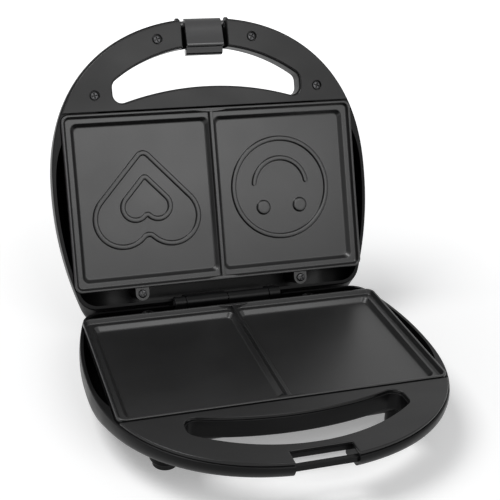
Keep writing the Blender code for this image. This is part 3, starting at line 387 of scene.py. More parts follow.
def loft(name, rings, joined=False):
    """A closed body through rings with as many points each, capped at both ends or joined end to end."""
    body = bmesh.new()
    loops = [[body.verts.new(point) for point in ring] for ring in rings]
    for lower, upper in zip(loops, loops[1:] + loops[:1] if joined else loops[1:]):
        for a, b, c, d in zip(lower, lower[1:] + lower[:1], upper[1:] + upper[:1], upper):
            body.faces.new((a, b, c, d))
    if not joined:
        body.faces.new(loops[0])
        body.faces.new(loops[-1])
    bmesh.ops.recalc_face_normals(body, faces=body.faces)
    mesh = bpy.data.meshes.new(name)
    body.to_mesh(mesh)
    body.free()
    return in_scene(name, mesh)


def prism(name, points, top, bottom):
    return loft(name, [at_depth(points, top), at_depth(points, bottom)])


def box(name, low, high):
    """A block between two corners, as x, y and depth."""
    points = [(low[0], low[1]), (high[0], low[1]), (high[0], high[1]), (low[0], high[1])]
    return prism(name, points, low[2], high[2])


def mouth_cutter(name, outline, mouth, end, radius):
    """A cutter of outline(grow) that rounds the edge at its mouth's depth and ends straight at another."""
    sign = 1 if end > mouth else -1
    return loft(name, [at_depth(outline(radius), mouth - sign * overrun), *edge_rings(outline, mouth, radius, sign),
                       at_depth(outline(0), end)])


def through_cutter(name, outline, top, bottom, radius):
    """A cutter of outline(grow) through a wall, that rounds the edges on both of its faces."""
    return loft(name, [at_depth(outline(radius), top - overrun), *edge_rings(outline, top, radius),
                       *edge_rings(outline, bottom, radius, -1)[::-1], at_depth(outline(radius), bottom + overrun)])


def screw_hole(name, place, radius, mouth, end):
    return mouth_cutter(name, lambda grow: circle(radius + grow, place, small_steps), mouth, end, small_edge)


def turned(name, profile, place, steps=round_steps):
    """A body turned about an upright axis, from (radius, depth) points."""
    return loft(name, [at_depth(circle(radius, place, steps), depth) for radius, depth in profile])


def along_x(name, profile, back, depth):
    """A body turned about an axis along X, from (radius, x) points."""
    return loft(name, [[(x, y, z) for y, z in circle(radius, (back, -depth))] for radius, x in profile])


def along_y(name, profile, across, depth):
    """A body turned about an axis along Y, from (radius, y) points."""
    return loft(name, [[(x, y, z) for x, z in circle(radius, (across, -depth))] for radius, y in profile])


def rod(name, radius, left, right, back, depth, edge=0.0):
    """A round bar along X, with rounded ends where an edge is given."""
    profile = rounded(radius, left, edge) + rounded(radius, right, edge, -1)
    return along_x(name, profile if edge else ((radius, left), (radius, right)), back, depth)


def applied(made):
    """Turns an object's modifiers into its mesh."""
    graph = bpy.context.evaluated_depsgraph_get()
    made.data = bpy.data.meshes.new_from_object(made.evaluated_get(graph), depsgraph=graph)
    made.modifiers.clear()
    return made


def combine(target, tools, operation):
    """Joins or cuts target with the tools, and removes them."""
    for tool in tools:
        modifier = target.modifiers.new("combine", "BOOLEAN")
        modifier.object = tool
        modifier.operation = operation
        modifier.solver = "EXACT"
    applied(target)
    for tool in tools:
        bpy.data.objects.remove(tool, do_unlink=True)
    return target


def cut(target, *tools):
    return combine(target, tools, "DIFFERENCE")


def join(target, *tools):
    return combine(target, tools, "UNION")


def bevelled(made, width, limit=50.0):
    """Rounds the edges of a simple body that turn by more than the limit."""
    modifier = made.modifiers.new("rounded edges", "BEVEL")
    modifier.width = width
    modifier.segments = 3
    modifier.limit_method = "ANGLE"
    modifier.angle_limit = math.radians(limit)
    return applied(made)


# Where the pieces lie

def placing(half):
    """From a half's own frame to its place, with the lid upside down and standing open."""
    sizes = settings("hinge")
    hinge = next(joint for joint in frame["joints"] if joint["name"] == "lid_hinge")["pos_m"]
    own = Vector((0, sizes.back, -plate_gap / 2 - sizes.drop))
    shut = Matrix.Translation(Vector(hinge) - own)
    if half == "base":
        return shut @ Matrix.Translation((0, 0, -plate_gap / 2))
    opened = Matrix.Translation(own) @ Matrix.Rotation(-sizes.opening, 4, "X") @ Matrix.Translation(-own)
    return shut @ opened @ (Matrix.Translation((0, 0, plate_gap / 2)) @ Matrix.Diagonal((1, 1, -1, 1)))


def put(made, half, body, slot, *nodes):
    """Moves a piece from its half's own frame to its place, and says what it rides on and stands for."""
    made.data.transform(placing(half))
    if half == "lid":
        made.data.flip_normals()
    clean = bmesh.new()
    clean.from_mesh(made.data)
    bmesh.ops.remove_doubles(clean, verts=clean.verts, dist=weld_distance)
    bmesh.ops.dissolve_degenerate(clean, edges=clean.edges, dist=weld_distance)
    clean.to_mesh(made.data)
    clean.free()
    made.data.shade_smooth()
    made.data.set_sharp_from_angle(angle=smooth_angle)
    shading = made.modifiers.new("even shading", "WEIGHTED_NORMAL")
    shading.keep_sharp = True
    shading.weight = large_face_weight
    made.data.materials.clear()
    made.data.materials.append(finish_of(slot))
    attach(made, body)
    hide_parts(*nodes)
    return made


# Shells

def shell_size(depth):
    """Half width, bowl front and rear of the shell's outside at one depth."""
    sizes = settings("shell")
    share = depth / sizes.depth
    return (sizes.half_width * share_at(side_shares, share), sizes.bowl_reach * share_at(bowl_shares, share),
            sizes.rear_reach * share_at(rear_shares, share))


def handle_outline(depth, inset):
    sizes = settings("shell")
    half_width, _, back = shell_size(depth)
    front = sizes.handle_reach * share_at(handle_shares, depth / sizes.handle_depth)
    return plan_outline(half_width - inset, front - inset, back - inset, handle_powers)


def cavity_outline(depth):
    sizes = settings("shell")
    pairs = zip(shell_size(depth), shell_size(depth + sizes.floor_wall))
    return plan_outline(*[min(pair) - sizes.wall for pair in pairs], bowl_powers)


def shell_body(name):
    """The outside of the bowl and its handle, solid, with a rounded rim."""
    sizes = settings("shell")
    places = [(sizes.rim_depth + down, inset) for inset, down in quarter_round(sizes.edge_radius)]
    places += [(sizes.handle_depth * level, 0) for level in handle_levels]
    rings = [at_depth(handle_outline(depth, inset), depth) for depth, inset in places]
    for depth in (sizes.depth * level for level in bowl_levels):
        rings.append(at_depth(plan_outline(*shell_size(depth), bowl_powers), depth))
    return loft(name, rings)


def cavity():
    sizes = settings("shell")
    rings = [at_depth(cavity_outline(sizes.rim_depth), sizes.rim_depth - overrun)]
    depths = [sizes.rim_depth] + [sizes.handle_depth * level for level in handle_levels[:-2:2]]
    depths += [sizes.depth * level - sizes.floor_wall for level in cavity_levels]
    return loft("cavity", rings + [at_depth(cavity_outline(depth), depth) for depth in depths])


def hinge_pieces(half):
    """The room for the other half's knuckles, this half's knuckles with their arms, and the pin's bore."""
    sizes = settings("hinge")
    gap, back, radius = sizes.knuckle_gap, sizes.back, sizes.barrel_radius
    width = sizes.half_width - sizes.stub_width - gap - gap / 2
    knuckles = {"base": ((-sizes.half_width, sizes.stub_width - sizes.half_width), (gap / 2, gap / 2 + width)),
                "lid": ((-gap / 2 - width, -gap / 2), (sizes.half_width - sizes.stub_width, sizes.half_width))}
    depth = sizes.drop if half == "base" else -sizes.drop - plate_gap
    arm_back, arm_height, knuckle_edge = 0.0015, 0.0110, 0.0004
    reliefs = [rod("relief", sizes.relief_radius, left - gap, right + gap, back, depth)
               for left, right in knuckles["lid" if half == "base" else "base"]]
    arms = []
    for left, right in knuckles[half]:
        arm = box("arm", (left, back - radius, depth), (right, back + arm_back, depth + arm_height))
        arms += [bevelled(arm, knuckle_edge), rod("knuckle", radius, left, right, back, depth, knuckle_edge)]
    end = sizes.half_width + overrun
    return reliefs, arms, rod("bore", hinge_pin_radius + fit_gap, -end, end, back, depth)


def moulded_shell(name, half, *additions):
    """What the base's and the lid's shells share: walls, the plate's seat, lug posts, handle and hinge."""
    sizes, plate = settings("shell"), settings("plate")
    seat_depth, tray_inset, tray_corner = 0.0074, 0.0041, 0.0065
    post_top = plate.skirt_depth + fit_gap
    shell = join(shell_body(name), *additions)
    seat = rounded_rectangle(plate.width / 2 + plate.clearance, plate.depth / 2 + plate.clearance,
                             plate.corner_radius + plate.clearance)
    tray = rounded_rectangle(plate.width / 2 - tray_inset, plate.depth / 2 - tray_inset, tray_corner)
    cut(shell, cavity())
    cut(shell, prism("plate_seat", seat, -overrun, seat_depth),
        prism("tray_room", tray, 0, sizes.handle_depth - sizes.wall))
    cut(shell, through_cutter("finger_opening", finger_outline, sizes.rim_depth, sizes.handle_depth,
                              sizes.edge_radius))
    post = rounded(lug_radius, post_top, sizes.edge_radius) + [(lug_radius, sizes.depth - sizes.floor_wall / 2)]
    join(shell, *[turned("lug_post", post, place) for place in both_sides([lug_place])])
    reliefs, arms, bore = hinge_pieces(half)
    return cut(join(cut(shell, *reliefs), *arms), bore)


def base_notch(half_width, low_radius):
    """Cutter of the base's notch: upright sides, flared at the rim and more at the underside."""
    sizes = settings("shell")
    radius, top, bottom = sizes.edge_radius, sizes.rim_depth, sizes.handle_depth
    right = [(half_width + radius, -overrun)]
    right += [(half_width + grow, top + down) for grow, down in quarter_round(radius)]
    right += [(half_width + grow, bottom - down) for grow, down in reversed(quarter_round(low_radius, 6))]
    right.append((half_width + low_radius, bottom + overrun))
    return loft("notch", [[(x, y, -depth) for x, depth in mirrored(right, 0)]
                          for y in (-sizes.handle_reach - overrun, notch_backs["base"])])


def front_notch(half_width, back, front, corner):
    """Outline(grow) of a notch that is open at the handle's front."""
    middle, half_y = (front + back) / 2, (back - front) / 2
    return lambda grow: [(x, middle + y) for x, y in
                         rounded_rectangle(half_width + grow, half_y + grow, corner + grow, 4)]


def make_base_shell():
    """Base shell with four legs, a boss for the lead's gland, and a notch with the bar that the latch hooks."""
    sizes, half_width = settings("shell"), settings("hinge").base_notch_half_width
    leg_top, leg_taper, boss_radius, boss_length = 0.012, 0.001, 0.0048 + sizes.wall, 0.004
    leg = ((sizes.leg_radius, leg_top), (sizes.leg_radius, sizes.depth),
           (sizes.leg_radius - leg_taper, sizes.leg_bottom_depth))
    seat = sizes.rear_reach - gland_recess
    boss_front = sizes.rear_reach - sizes.wall - boss_length
    boss = along_y("gland_boss", ((boss_radius, boss_front), (boss_radius, seat)), gland_x, gland_depth)
    shell = moulded_shell("base_shell_form", "base", *[turned("leg", leg, place) for place in both_sides(leg_places)],
                          boss)
    undercut_back, undercut_depth, corner_radius = -0.1070, 0.0065, 0.0024
    cut(shell, base_notch(half_width, corner_radius))
    cut(shell, box("undercut", (-half_width, -sizes.handle_reach, undercut_depth),
                   (half_width, undercut_back, sizes.handle_depth + overrun)))
    bar_front, bar_width, bar_edge = -0.1262, 0.0034, 0.0005
    end = half_width + sizes.wall / 2
    bar = box("latch_bar", (-end, bar_front, bar_top), (end, bar_front + bar_width, bar_top + bar_height))
    join(shell, bevelled(bar, bar_edge))
    head_radius, head_room = 0.0034, 0.0023
    cut(shell, *[screw_hole("hole", place, head_radius, sizes.handle_depth, sizes.handle_depth - head_room)
                 for place in both_sides(base_screw_places)])
    stem, flange = 0.0041, 0.0051
    cut(shell, along_y("gland_hole", ((stem, boss_front - overrun), (stem, seat), (flange, seat),
                                      (flange, sizes.rear_reach + overrun)), gland_x, gland_depth))
    return put(shell, "base", "base", "shell_plastic", "base_shell")


def make_lid_shell():
    """Lid shell with the latch's notch, its cheeks and stop rib, and holes for the lamps."""
    sizes, hinge = settings("shell"), settings("hinge")
    half_width, latch_back, latch_depth = hinge.lid_notch_half_width, hinge.latch_back, hinge.latch_depth
    notch_floor, notch_corner, cheek_radius, cheek_edge, grip = 0.0126, 0.0008, 0.0046, 0.0005, 0.003
    shell = moulded_shell("lid_shell_form", "lid")
    notch = front_notch(half_width, notch_backs["lid"], -sizes.handle_reach - overrun, notch_corner)
    cut(shell, mouth_cutter("notch", notch, sizes.rim_depth, notch_floor, sizes.edge_radius))
    outer, end = half_width + sizes.wall, half_width + grip
    join(shell, *[rod("cheek", cheek_radius, left, right, latch_back, latch_depth, cheek_edge)
                  for left, right in ((-outer, -half_width), (half_width, outer))])
    cut(shell, rod("latch_bore", latch_pin_radius + fit_gap, -end, end, latch_back, latch_depth))
    stop_half_width, stop_place, stop_thickness, stop_depth = 0.005, 0.011, 0.0025, 0.0053
    middle = latch_back + stop_place
    join(shell, box("latch_stop", (-stop_half_width, middle - stop_thickness / 2, stop_depth),
                    (stop_half_width, middle + stop_thickness / 2, notch_floor + sizes.wall / 2)))
    lamp_bore, floor = 0.0031, sizes.depth - sizes.floor_wall
    cut(shell, *[prism("lamp_hole", circle(lamp_bore, place, small_steps), floor - overrun, sizes.depth + overrun)
                 for place in both_sides([lamp_place])])
    return put(shell, "lid", "lid", "shell_plastic", "lid_shell")


# Handle covers

def make_cover(half):
    """The handle's flat inner face, with rounded edges and countersunk places for the lid's screws."""
    sizes, shell, plate = settings("handle"), settings("shell"), settings("plate")
    notch_half = getattr(settings("hinge"), half + "_notch_half_width")
    top = shell.rim_depth - fit_gap - sizes.cover_thickness
    bottom = top + sizes.cover_thickness
    edge, inset, wide, notch_corner = sizes.cover_edge, sizes.cover_inset, shell.half_width, 0.0006
    behind = -plate.depth / 2 - plate.clearance - fit_gap
    depth = shell.rear_reach - behind

    def face(inwards):
        return handle_outline(shell.rim_depth, inset + inwards)

    def rear(grow):
        near, far = behind - grow, behind - grow + depth
        return [(-wide, near), (wide, near), (wide, far), (-wide, far)]

    notch = front_notch(notch_half, notch_backs[half], -shell.handle_reach - shell.wall - overrun, notch_corner)
    cover = loft(half + "_cover_form", [*edge_rings(face, top, edge), at_depth(face(0), bottom)])
    cut(cover, *[mouth_cutter(name, outline, top, bottom + overrun, edge) for name, outline in (
        ("behind", rear), ("finger_opening", lambda grow: finger_outline(inset + grow)), ("notch", notch))])
    if half == "lid":
        head_radius, sink, boss_radius, boss_drop = 0.0037, 0.0020, 0.004, 0.002
        boss = ((boss_radius, top + sizes.cover_thickness / 2), (boss_radius, bottom + boss_drop))
        places = both_sides(lid_screw_places)
        join(cover, *[turned("boss", boss, place, small_steps) for place in places])
        cut(cover, *[screw_hole("counterbore", place, head_radius, top, top + sink) for place in places])
    return put(cover, half, half, "cover_plastic", half + "_cover")


# Cooking plates

def plate_outline(inset, radius=None):
    sizes = settings("plate")
    tightest = 0.0008
    corner = max(sizes.corner_radius - inset, tightest) if radius is None else radius
    return rounded_rectangle(sizes.width / 2 - inset, sizes.depth / 2 - inset, corner)


def slope_cutter(name, outline, start, run, top, drop, upper, lower, steps=6):
    """A cutter of outline(inset) with sloped sides, rounded where it leaves the top and where it meets the floor."""
    lean = math.atan2(drop, run)
    tangent = math.tan(lean / 2)
    turns = [lean * step / steps for step in range(steps + 1)]
    points = [(start - upper * tangent + upper * math.sin(turn), top + upper * (1 - math.cos(turn)))
              for turn in turns]
    points += [(start + run + lower * tangent - lower * math.sin(turn), top + drop - lower * (1 - math.cos(turn)))
               for turn in reversed(turns)]
    return loft(name, [at_depth(outline(points[0][0]), -overrun)]
                + [at_depth(outline(inset), depth) for inset, depth in points])


def well_cutter(side):
    """One well: rounded at the band, sloped sides, and a fillet round its flat floor."""
    sizes = settings("plate")
    border = sizes.rim_width + sizes.rim_run + sizes.band_width
    outer, half_y = sizes.width / 2 - border, sizes.depth / 2 - border
    half_x, middle = (outer - sizes.divider) / 2, side * (outer + sizes.divider) / 2
    edge, fillet, corner_share, tightest = 0.0009, 0.0014, 0.4, 0.001

    def outline(inset):
        corner = max(sizes.well_radius - corner_share * inset, tightest)
        return [(middle + x, y) for x, y in rounded_rectangle(half_x - inset, half_y - inset, corner)]

    return slope_cutter("well", outline, 0, sizes.well_run, sizes.rim_drop, sizes.well_drop, edge, fillet)


def lens_outline(half_length, half_width, place, steps=12):
    """Two flat arcs that meet in points, along X."""
    radius = (half_length ** 2 + half_width ** 2) / (2 * half_width)
    points = []
    for side in (-1, 1):
        for x in (side * half_length * (2 * step / steps - 1) for step in range(steps)):
            rise = math.sqrt(radius ** 2 - x ** 2) - radius + half_width
            points.append((place[0] - x, place[1] + side * rise))
    return points


def cooking_plate(name):
    """Cast plate: a raised rounded rim, a flat band, two wells and the blade between them."""
    sizes = settings("plate")
    rim_round, inner_round, band_fillet, blade_round, pad_round = 0.0007, 0.0006, 0.0009, 0.0005, 0.0004
    casting_inset, casting_draft = 0.007, 0.0012
    plate = loft(name, [*edge_rings(plate_outline, 0, rim_round), at_depth(plate_outline(0), sizes.skirt_depth)])
    join(plate, loft("casting", [at_depth(plate_outline(inset, sizes.corner_radius), depth) for inset, depth in (
        (casting_inset, sizes.skirt_depth - sizes.thickness / 2),
        (casting_inset + casting_draft, sizes.rim_drop + sizes.well_drop + sizes.thickness))]))
    cut(plate, slope_cutter("band", plate_outline, sizes.rim_width, sizes.rim_run, 0, sizes.rim_drop, inner_round,
                            band_fillet))
    cut(plate, well_cutter(-1), well_cutter(1))
    half_y, foot_depth = sizes.depth / 2 - sizes.rim_width / 2, sizes.rim_drop + sizes.well_drop / 2
    top_half, foot_half, recess = 0.0013, 0.0022, 0.0003
    blade = edge_rings(lambda inset: rounded_rectangle(top_half - inset, half_y - inset, recess), recess,
                       blade_round)
    blade.append(at_depth(rounded_rectangle(foot_half, half_y, recess), foot_depth))
    join(plate, loft("blade", blade))
    pad_half_length, pad_half_width, pad_lean, pad_top = 0.0125, 0.0013, 4, 0.0001
    pads, lugs = [], []
    for side in (-1, 1):
        def pad(inset, place=(0, side * (sizes.depth / 2 - sizes.rim_width))):
            return lens_outline(pad_half_length - pad_lean * inset, pad_half_width - inset, place)
        pads.append(loft("pad", [*edge_rings(pad, pad_top, pad_round), at_depth(pad(0), foot_depth)]))
    join(plate, *pads)
    for x, y in both_sides([lug_place]):
        lug = box("lug", (x - lug_radius, sizes.depth / 2 - sizes.rim_width, sizes.skirt_depth - lug_thickness),
                  (x + lug_radius, y, sizes.skirt_depth))
        lugs.append(join(lug, prism("lug_end", circle(lug_radius, (x, y)), sizes.skirt_depth - lug_thickness,
                                    sizes.skirt_depth)))
    return join(plate, *lugs)


def ridge(name, points, closed=True):
    """A flat-topped ridge with steep sides on a well's floor, along a path in the plate's plane."""
    sizes = settings("plate")
    floor, half_width, narrowest = sizes.rim_drop + sizes.well_drop, sizes.motif_width / 2, 0.05
    path = [(Vector(point), 1.0) for point in points]
    if not closed:
        turns = [quarter_turn * step / edge_steps for step in range(1, edge_steps + 1)]
        for end, inner in ((0, 1), (-1, -2)):
            start = Vector(points[end])
            ahead = (start - Vector(points[inner])).normalized() * half_width
            tip = [(start + ahead * math.sin(turn), max(math.cos(turn), narrowest)) for turn in turns]
            path = tip[::-1] + path if end == 0 else path + tip
    section = [(side * across, rise) for side, table in ((1, ridge_shares), (-1, ridge_shares[::-1]))
               for across, rise in table]
    rings = []
    for index, (point, width) in enumerate(path):
        before = path[index - 1] if index or closed else path[0]
        after = path[(index + 1) % len(path)] if closed or index + 1 < len(path) else path[-1]
        ahead = (after[0] - before[0]).normalized()
        across = Vector((-ahead.y, ahead.x)) * half_width * width
        rings.append([(*(point + across * share), sizes.motif_height * rise - floor) for share, rise in section])
    return loft(name, rings, closed)


def heart_outline(half_width, place, steps):
    """A heart with its point towards the handle: two lobes and their tangents, rounded at dip and point."""
    lobe_share, tip_share, fillet_share, fillet_steps = 0.90, 2.45, 0.25, steps // 6
    radius = half_width / (1 + lobe_share)
    across, tip, fillet = radius * lobe_share, radius * tip_share, radius * fillet_share
    dip = math.sqrt((radius + fillet) ** 2 - across ** 2)
    lean = math.atan2(dip, across)
    slope = math.atan2(tip, across) - math.asin(radius / math.hypot(tip, across)) - quarter_turn
    point = fillet / math.cos(slope + quarter_turn) - tip
    right = arc((0, dip), fillet, -quarter_turn, -lean, fillet_steps)
    right += arc((across, 0), radius, math.pi - lean, slope, steps)
    whole = mirrored(right + arc((0, point), fillet, slope, -quarter_turn, fillet_steps), 1, -1)
    rise = place[1] + (tip - radius) / 2
    kept = [spot for spot, after in zip(whole, whole[1:] + whole[:1]) if math.dist(spot, after) > fit_gap]
    return [(place[0] + x, rise + y) for x, y in kept]


def make_plates():
    """Both plates; the lid's has ridges that mark the bread, a heart and a plain smiling face."""
    sizes = settings("plate")
    put(cooking_plate("base_plate_form"), "base", "base", "non_stick", "base_plate")
    plate = cooking_plate("lid_plate_form")
    heart_place, face_place, core_share = (-0.05275, -0.0014), (0.0515, -0.0014), 0.46
    eye_radius, eye_place, smile_radius, smile_drop = 0.0055, (0.0145, 0.0143), 0.0208, 0.0013
    smile_angle, heart_steps, core_steps, face_steps = math.radians(82.0), 48, 30, 96
    mouth = arc((face_place[0], face_place[1] - smile_drop), smile_radius, -quarter_turn - smile_angle,
                -quarter_turn + smile_angle, 4 * bend_steps)
    tools = [ridge("heart", heart_outline(sizes.heart_half_width, heart_place, heart_steps)),
             ridge("inner_heart", heart_outline(sizes.heart_half_width * core_share, heart_place, core_steps)),
             ridge("face", circle(sizes.face_radius, face_place, face_steps)), ridge("mouth", mouth, False)]
    floor = sizes.rim_drop + sizes.well_drop
    profile = [(eye_radius * share, floor - sizes.motif_height * rise) for share, rise in eye_shares]
    tools += [turned("eye", profile, (face_place[0] + x, face_place[1] + y), small_steps)
              for x, y in both_sides([eye_place])]
    join(plate, *tools)
    put(plate, "lid", "lid", "non_stick", "lid_plate")


# Small parts

def cross_screw(name, place, bearing, towards_rim):
    """Pan head screw with a cross recess; bearing is the depth of its head's underside."""
    sign = 1 if towards_rim else -1
    crown = bearing - sign * screw_head_height
    shank_radius, shank_length = 0.0015, 0.006
    profile = [(screw_head_radius * share, bearing - sign * screw_head_height * rise)
               for share, rise in screw_head_shares]
    profile += [(shank_radius, bearing), (shank_radius, bearing + sign * shank_length)]
    half_long, half_wide, deep, over = 0.0020, 0.00058, 0.0018, 0.001
    least_turn, more_turn, period = math.radians(20.0), math.radians(35.0) * 1000, 0.0017
    lean = least_turn + more_turn * (place[0] % period)
    low, high = sorted((crown - sign * over, crown + sign * deep))
    tools = []
    for turn in (lean, lean + quarter_turn):
        along = Vector((math.cos(turn), math.sin(turn)))
        across = Vector((-along.y, along.x)) * half_wide
        corners = [Vector(place) + along * reach + across * side for reach, side in (
            (half_long, -1), (half_long, 1), (-half_long, 1), (-half_long, -1))]
        tools.append(prism("recess", corners, low, high))
    return cut(turned(name, profile, place, small_steps), *tools)


def make_screws():
    """Screws of the lid's cover, of the base's underside, and of both plates."""
    shell, handle, plate = settings("shell"), settings("handle"), settings("plate")
    lid_bearing = shell.rim_depth - fit_gap - handle.cover_thickness + screw_sink + screw_head_height
    base_bearing = shell.handle_depth - screw_sink - screw_head_height
    lug_bearing = plate.skirt_depth - lug_thickness - fit_gap
    rows = [("lid", f"lid_cover_screw_{count}", place, lid_bearing, True)
            for count, place in enumerate(both_sides(lid_screw_places), 1)]
    rows += [("base", f"base_cover_screw_{count}", place, base_bearing, False)
             for count, place in enumerate(both_sides(base_screw_places), 1)]
    rows += [(half, f"{half}_plate_screw_{word}", place, lug_bearing, True) for half in ("base", "lid")
             for place, word in zip(both_sides([lug_place]), ("left", "right"))]
    for half, node, place, bearing, towards_rim in rows:
        put(cross_screw(node + "_form", place, bearing, towards_rim), half, half, "dark_steel", node)


def make_latch():
    """The clip with its smooth bulged face and hook, folded back into the lid's notch."""
    sizes = settings("hinge")
    pin = (sizes.latch_back, sizes.latch_depth)
    tab_front, back, barrel, barrel_end, hook_reach, hook_height = 0.0065, 0.0024, 0.0034, 0.0024, 0.0043, 0.0046
    clip_edge, clip_edge_limit, barrel_edge = 0.0006, 60.0, 0.0004
    drop = sizes.latch_depth + plate_gap + bar_top + bar_height + fit_gap
    face = smooth_line([(-forward * tab_front, -down * drop) for forward, down in latch_face_shares])
    hook = smooth_line([(out * hook_reach, -drop - down * hook_height) for out, down in hook_shares])
    inside = [(-back, -drop), (-back, -latch_neck_share * drop), (0, -barrel)]
    half = sizes.latch_width / 2
    clip = loft("latch_clip_form", [[(x, pin[0] + y, -(pin[1] + z)) for y, z in face + hook + inside]
                                    for x in (-half, half)])
    bevelled(clip, clip_edge, clip_edge_limit)
    end = sizes.lid_notch_half_width - fit_gap
    join(clip, rod("barrel", barrel_end, -end, end, *pin, barrel_edge))
    cut(clip, rod("bore", latch_pin_radius + fit_gap, -end - overrun, end + overrun, *pin))
    axis = Matrix.Translation((0, pin[0], -pin[1]))
    clip.data.transform(axis @ Matrix.Rotation(-sizes.swing, 4, "X") @ axis.inverted())
    return put(clip, "lid", "latch", "latch_plastic", "latch_clip")


def make_fittings():
    """Rubber feet, the lid's two lamps and the gland where the lead enters."""
    shell = settings("shell")
    radius, height, edge, stud, hollow = 0.008, 0.004, 0.0008, 0.003, ((0.62, 0.0), (0.55, 0.0007))
    top, bottom = shell.leg_bottom_depth + fit_gap, shell.leg_bottom_depth + height
    profile = [(stud, top - height), (stud, top)]
    profile += rounded(radius, top, small_edge) + rounded(radius, bottom, edge, -1)
    profile += [(radius * share, bottom - rise) for share, rise in hollow]
    for place, word in zip(both_sides(leg_places), ("front_left", "front_right", "rear_left", "rear_right")):
        put(turned(f"foot_{word}_form", profile, place), "base", "base", "foot_rubber", f"foot_{word}")
    stem, stem_length, lens, dome, rim, seat = 0.0028, 0.004, 0.0035, 0.0016, 0.0003, shell.depth + fit_gap
    profile = [(stem, seat - stem_length), (stem, seat), (lens, seat), (lens, seat + rim)]
    profile += [(lens * math.sin(turn), seat + rim + (dome - rim) * math.cos(turn))
                for turn in dome_angles]
    for place, word, slot in zip(both_sides([lamp_place]), ("power", "ready"), ("red_lens", "green_lens")):
        put(turned(f"{word}_lamp_form", profile, place), "lid", "lid", slot, f"{word}_lamp")
    seat = shell.rear_reach - gland_recess + fit_gap
    stem, stem_length, flange, thick, bore, bore_length, edge = 0.0038, 0.009, 0.0048, 0.0015, 0.0024, 0.0045, 0.0005
    profile = [(stem, seat - stem_length), (stem, seat), (flange, seat), *rounded(flange, seat + thick, edge, -1)]
    gland = along_y("lead_gland_form", profile, gland_x, gland_depth)
    cut(gland, along_y("bore", ((bore, seat - bore_length), (bore, seat + thick + overrun)), gland_x, gland_depth))
    put(gland, "base", "base", "foot_rubber", "lead_gland")


# Finishes

def add(tree, kind, inputs=None, **choices):
    """A shader node with its choices made and each input set to a value or linked to a socket."""
    made = tree.nodes.new("ShaderNode" + kind)
    for key, value in choices.items():
        setattr(made, key, value)
    for place, value in (inputs or {}).items():
        if isinstance(value, NodeSocket):
            tree.links.new(value, made.inputs[place])
        else:
            made.inputs[place].default_value = value
    return made


def calculated(tree, operation, *values):
    return add(tree, "Math", dict(enumerate(values)), operation=operation).outputs[0]


def noise(tree, coords, scale, detail=2.0, rough=0.5):
    return add(tree, "TexNoise", {"Scale": scale, "Detail": detail, "Roughness": rough,
                                  "Vector": coords}).outputs["Fac"]


def stretched(tree, coords, scale):
    return add(tree, "Mapping", {"Scale": scale, "Vector": coords}).outputs["Vector"]


def mapped(tree, value, low, high, start=0.0, end=1.0):
    return add(tree, "MapRange", {"Value": value, "From Min": start, "From Max": end, "To Min": low,
                                  "To Max": high}).outputs["Result"]


def blended(tree, factor, first, second):
    """A mix of two colours."""
    return add(tree, "Mix", {"Factor": factor, 6: first, 7: second}, data_type="RGBA").outputs[2]


def shaded(rgb, factor):
    return (*(min(1.0, channel * factor) for channel in rgb), 1.0)


def new_finish(name, values):
    """A new material's nodes, its shader's sockets with some values set, and the object's coordinates."""
    made = bpy.data.materials.new(name)
    made.use_nodes = True
    sockets = made.node_tree.nodes["Principled BSDF"].inputs
    for socket, value in values.items():
        sockets[socket].default_value = value
    return made.node_tree, sockets, add(made.node_tree, "TexCoord").outputs["Object"]


def dress(tree, sockets, tint, gloss, bumps):
    """Links the colour, the roughness and the bumps of (height, strength, distance), one on another."""
    tree.links.new(tint, sockets["Base Color"])
    tree.links.new(gloss, sockets["Roughness"])
    below = {}
    for height, strength, distance in bumps:
        made = add(tree, "Bump", {"Strength": strength, "Distance": distance, "Height": height, **below})
        below = {"Normal": made.outputs["Normal"]}
    tree.links.new(below["Normal"], sockets["Normal"])


def edge_share(tree):
    """1 on the rounded edges of the handles' faces, 0 on the flats and on the upright sides."""
    normal = add(tree, "TexCoord").outputs["Normal"]
    leans = []
    for lean in (0.0, settings("hinge").opening):
        facing = add(tree, "VectorMath", {0: normal, 1: (0.0, math.sin(lean), math.cos(lean))},
                     operation="DOT_PRODUCT")
        leans.append(calculated(tree, "ABSOLUTE", facing.outputs["Value"]))
    nearest = calculated(tree, "MAXIMUM", *leans)
    return calculated(tree, "MULTIPLY", mapped(tree, nearest, 1.0, 0.0, 0.90, 0.985),
                      mapped(tree, nearest, 0.0, 1.0, 0.25, 0.45))


def moulded_plastic(name, rgb, roughness, grain, strength, specular, coat=0.0, edges=None):
    """Injection-moulded plastic: a fine spark-eroded grain, faint flow marks and uneven gloss."""
    tree, sockets, coords = new_finish(name, {"Specular IOR Level": specular, "Coat Weight": coat,
                                              "Coat Roughness": 0.1})
    broad = noise(tree, coords, 26.0, 3.0)
    flow = noise(tree, stretched(tree, coords, (18.0, 60.0, 18.0)), 1.0)
    fine = noise(tree, coords, grain, 3.0, 0.62)
    tint = blended(tree, mapped(tree, broad, 0.0, 1.0, 0.3, 0.7), shaded(rgb, 0.86), shaded(rgb, 1.14))
    tint = blended(tree, mapped(tree, fine, 0.0, 0.35, 0.45, 0.75), tint, shaded(rgb, 1.5))
    gloss = mapped(tree, flow, roughness - 0.05, roughness + 0.06, 0.3, 0.7)
    if edges:
        gloss = add(tree, "Mix", {"Factor": edge_share(tree), "A": gloss, "B": edges}).outputs["Result"]
    dress(tree, sockets, tint, gloss, [(broad, 0.06, 0.002), (fine, strength, 0.00012)])


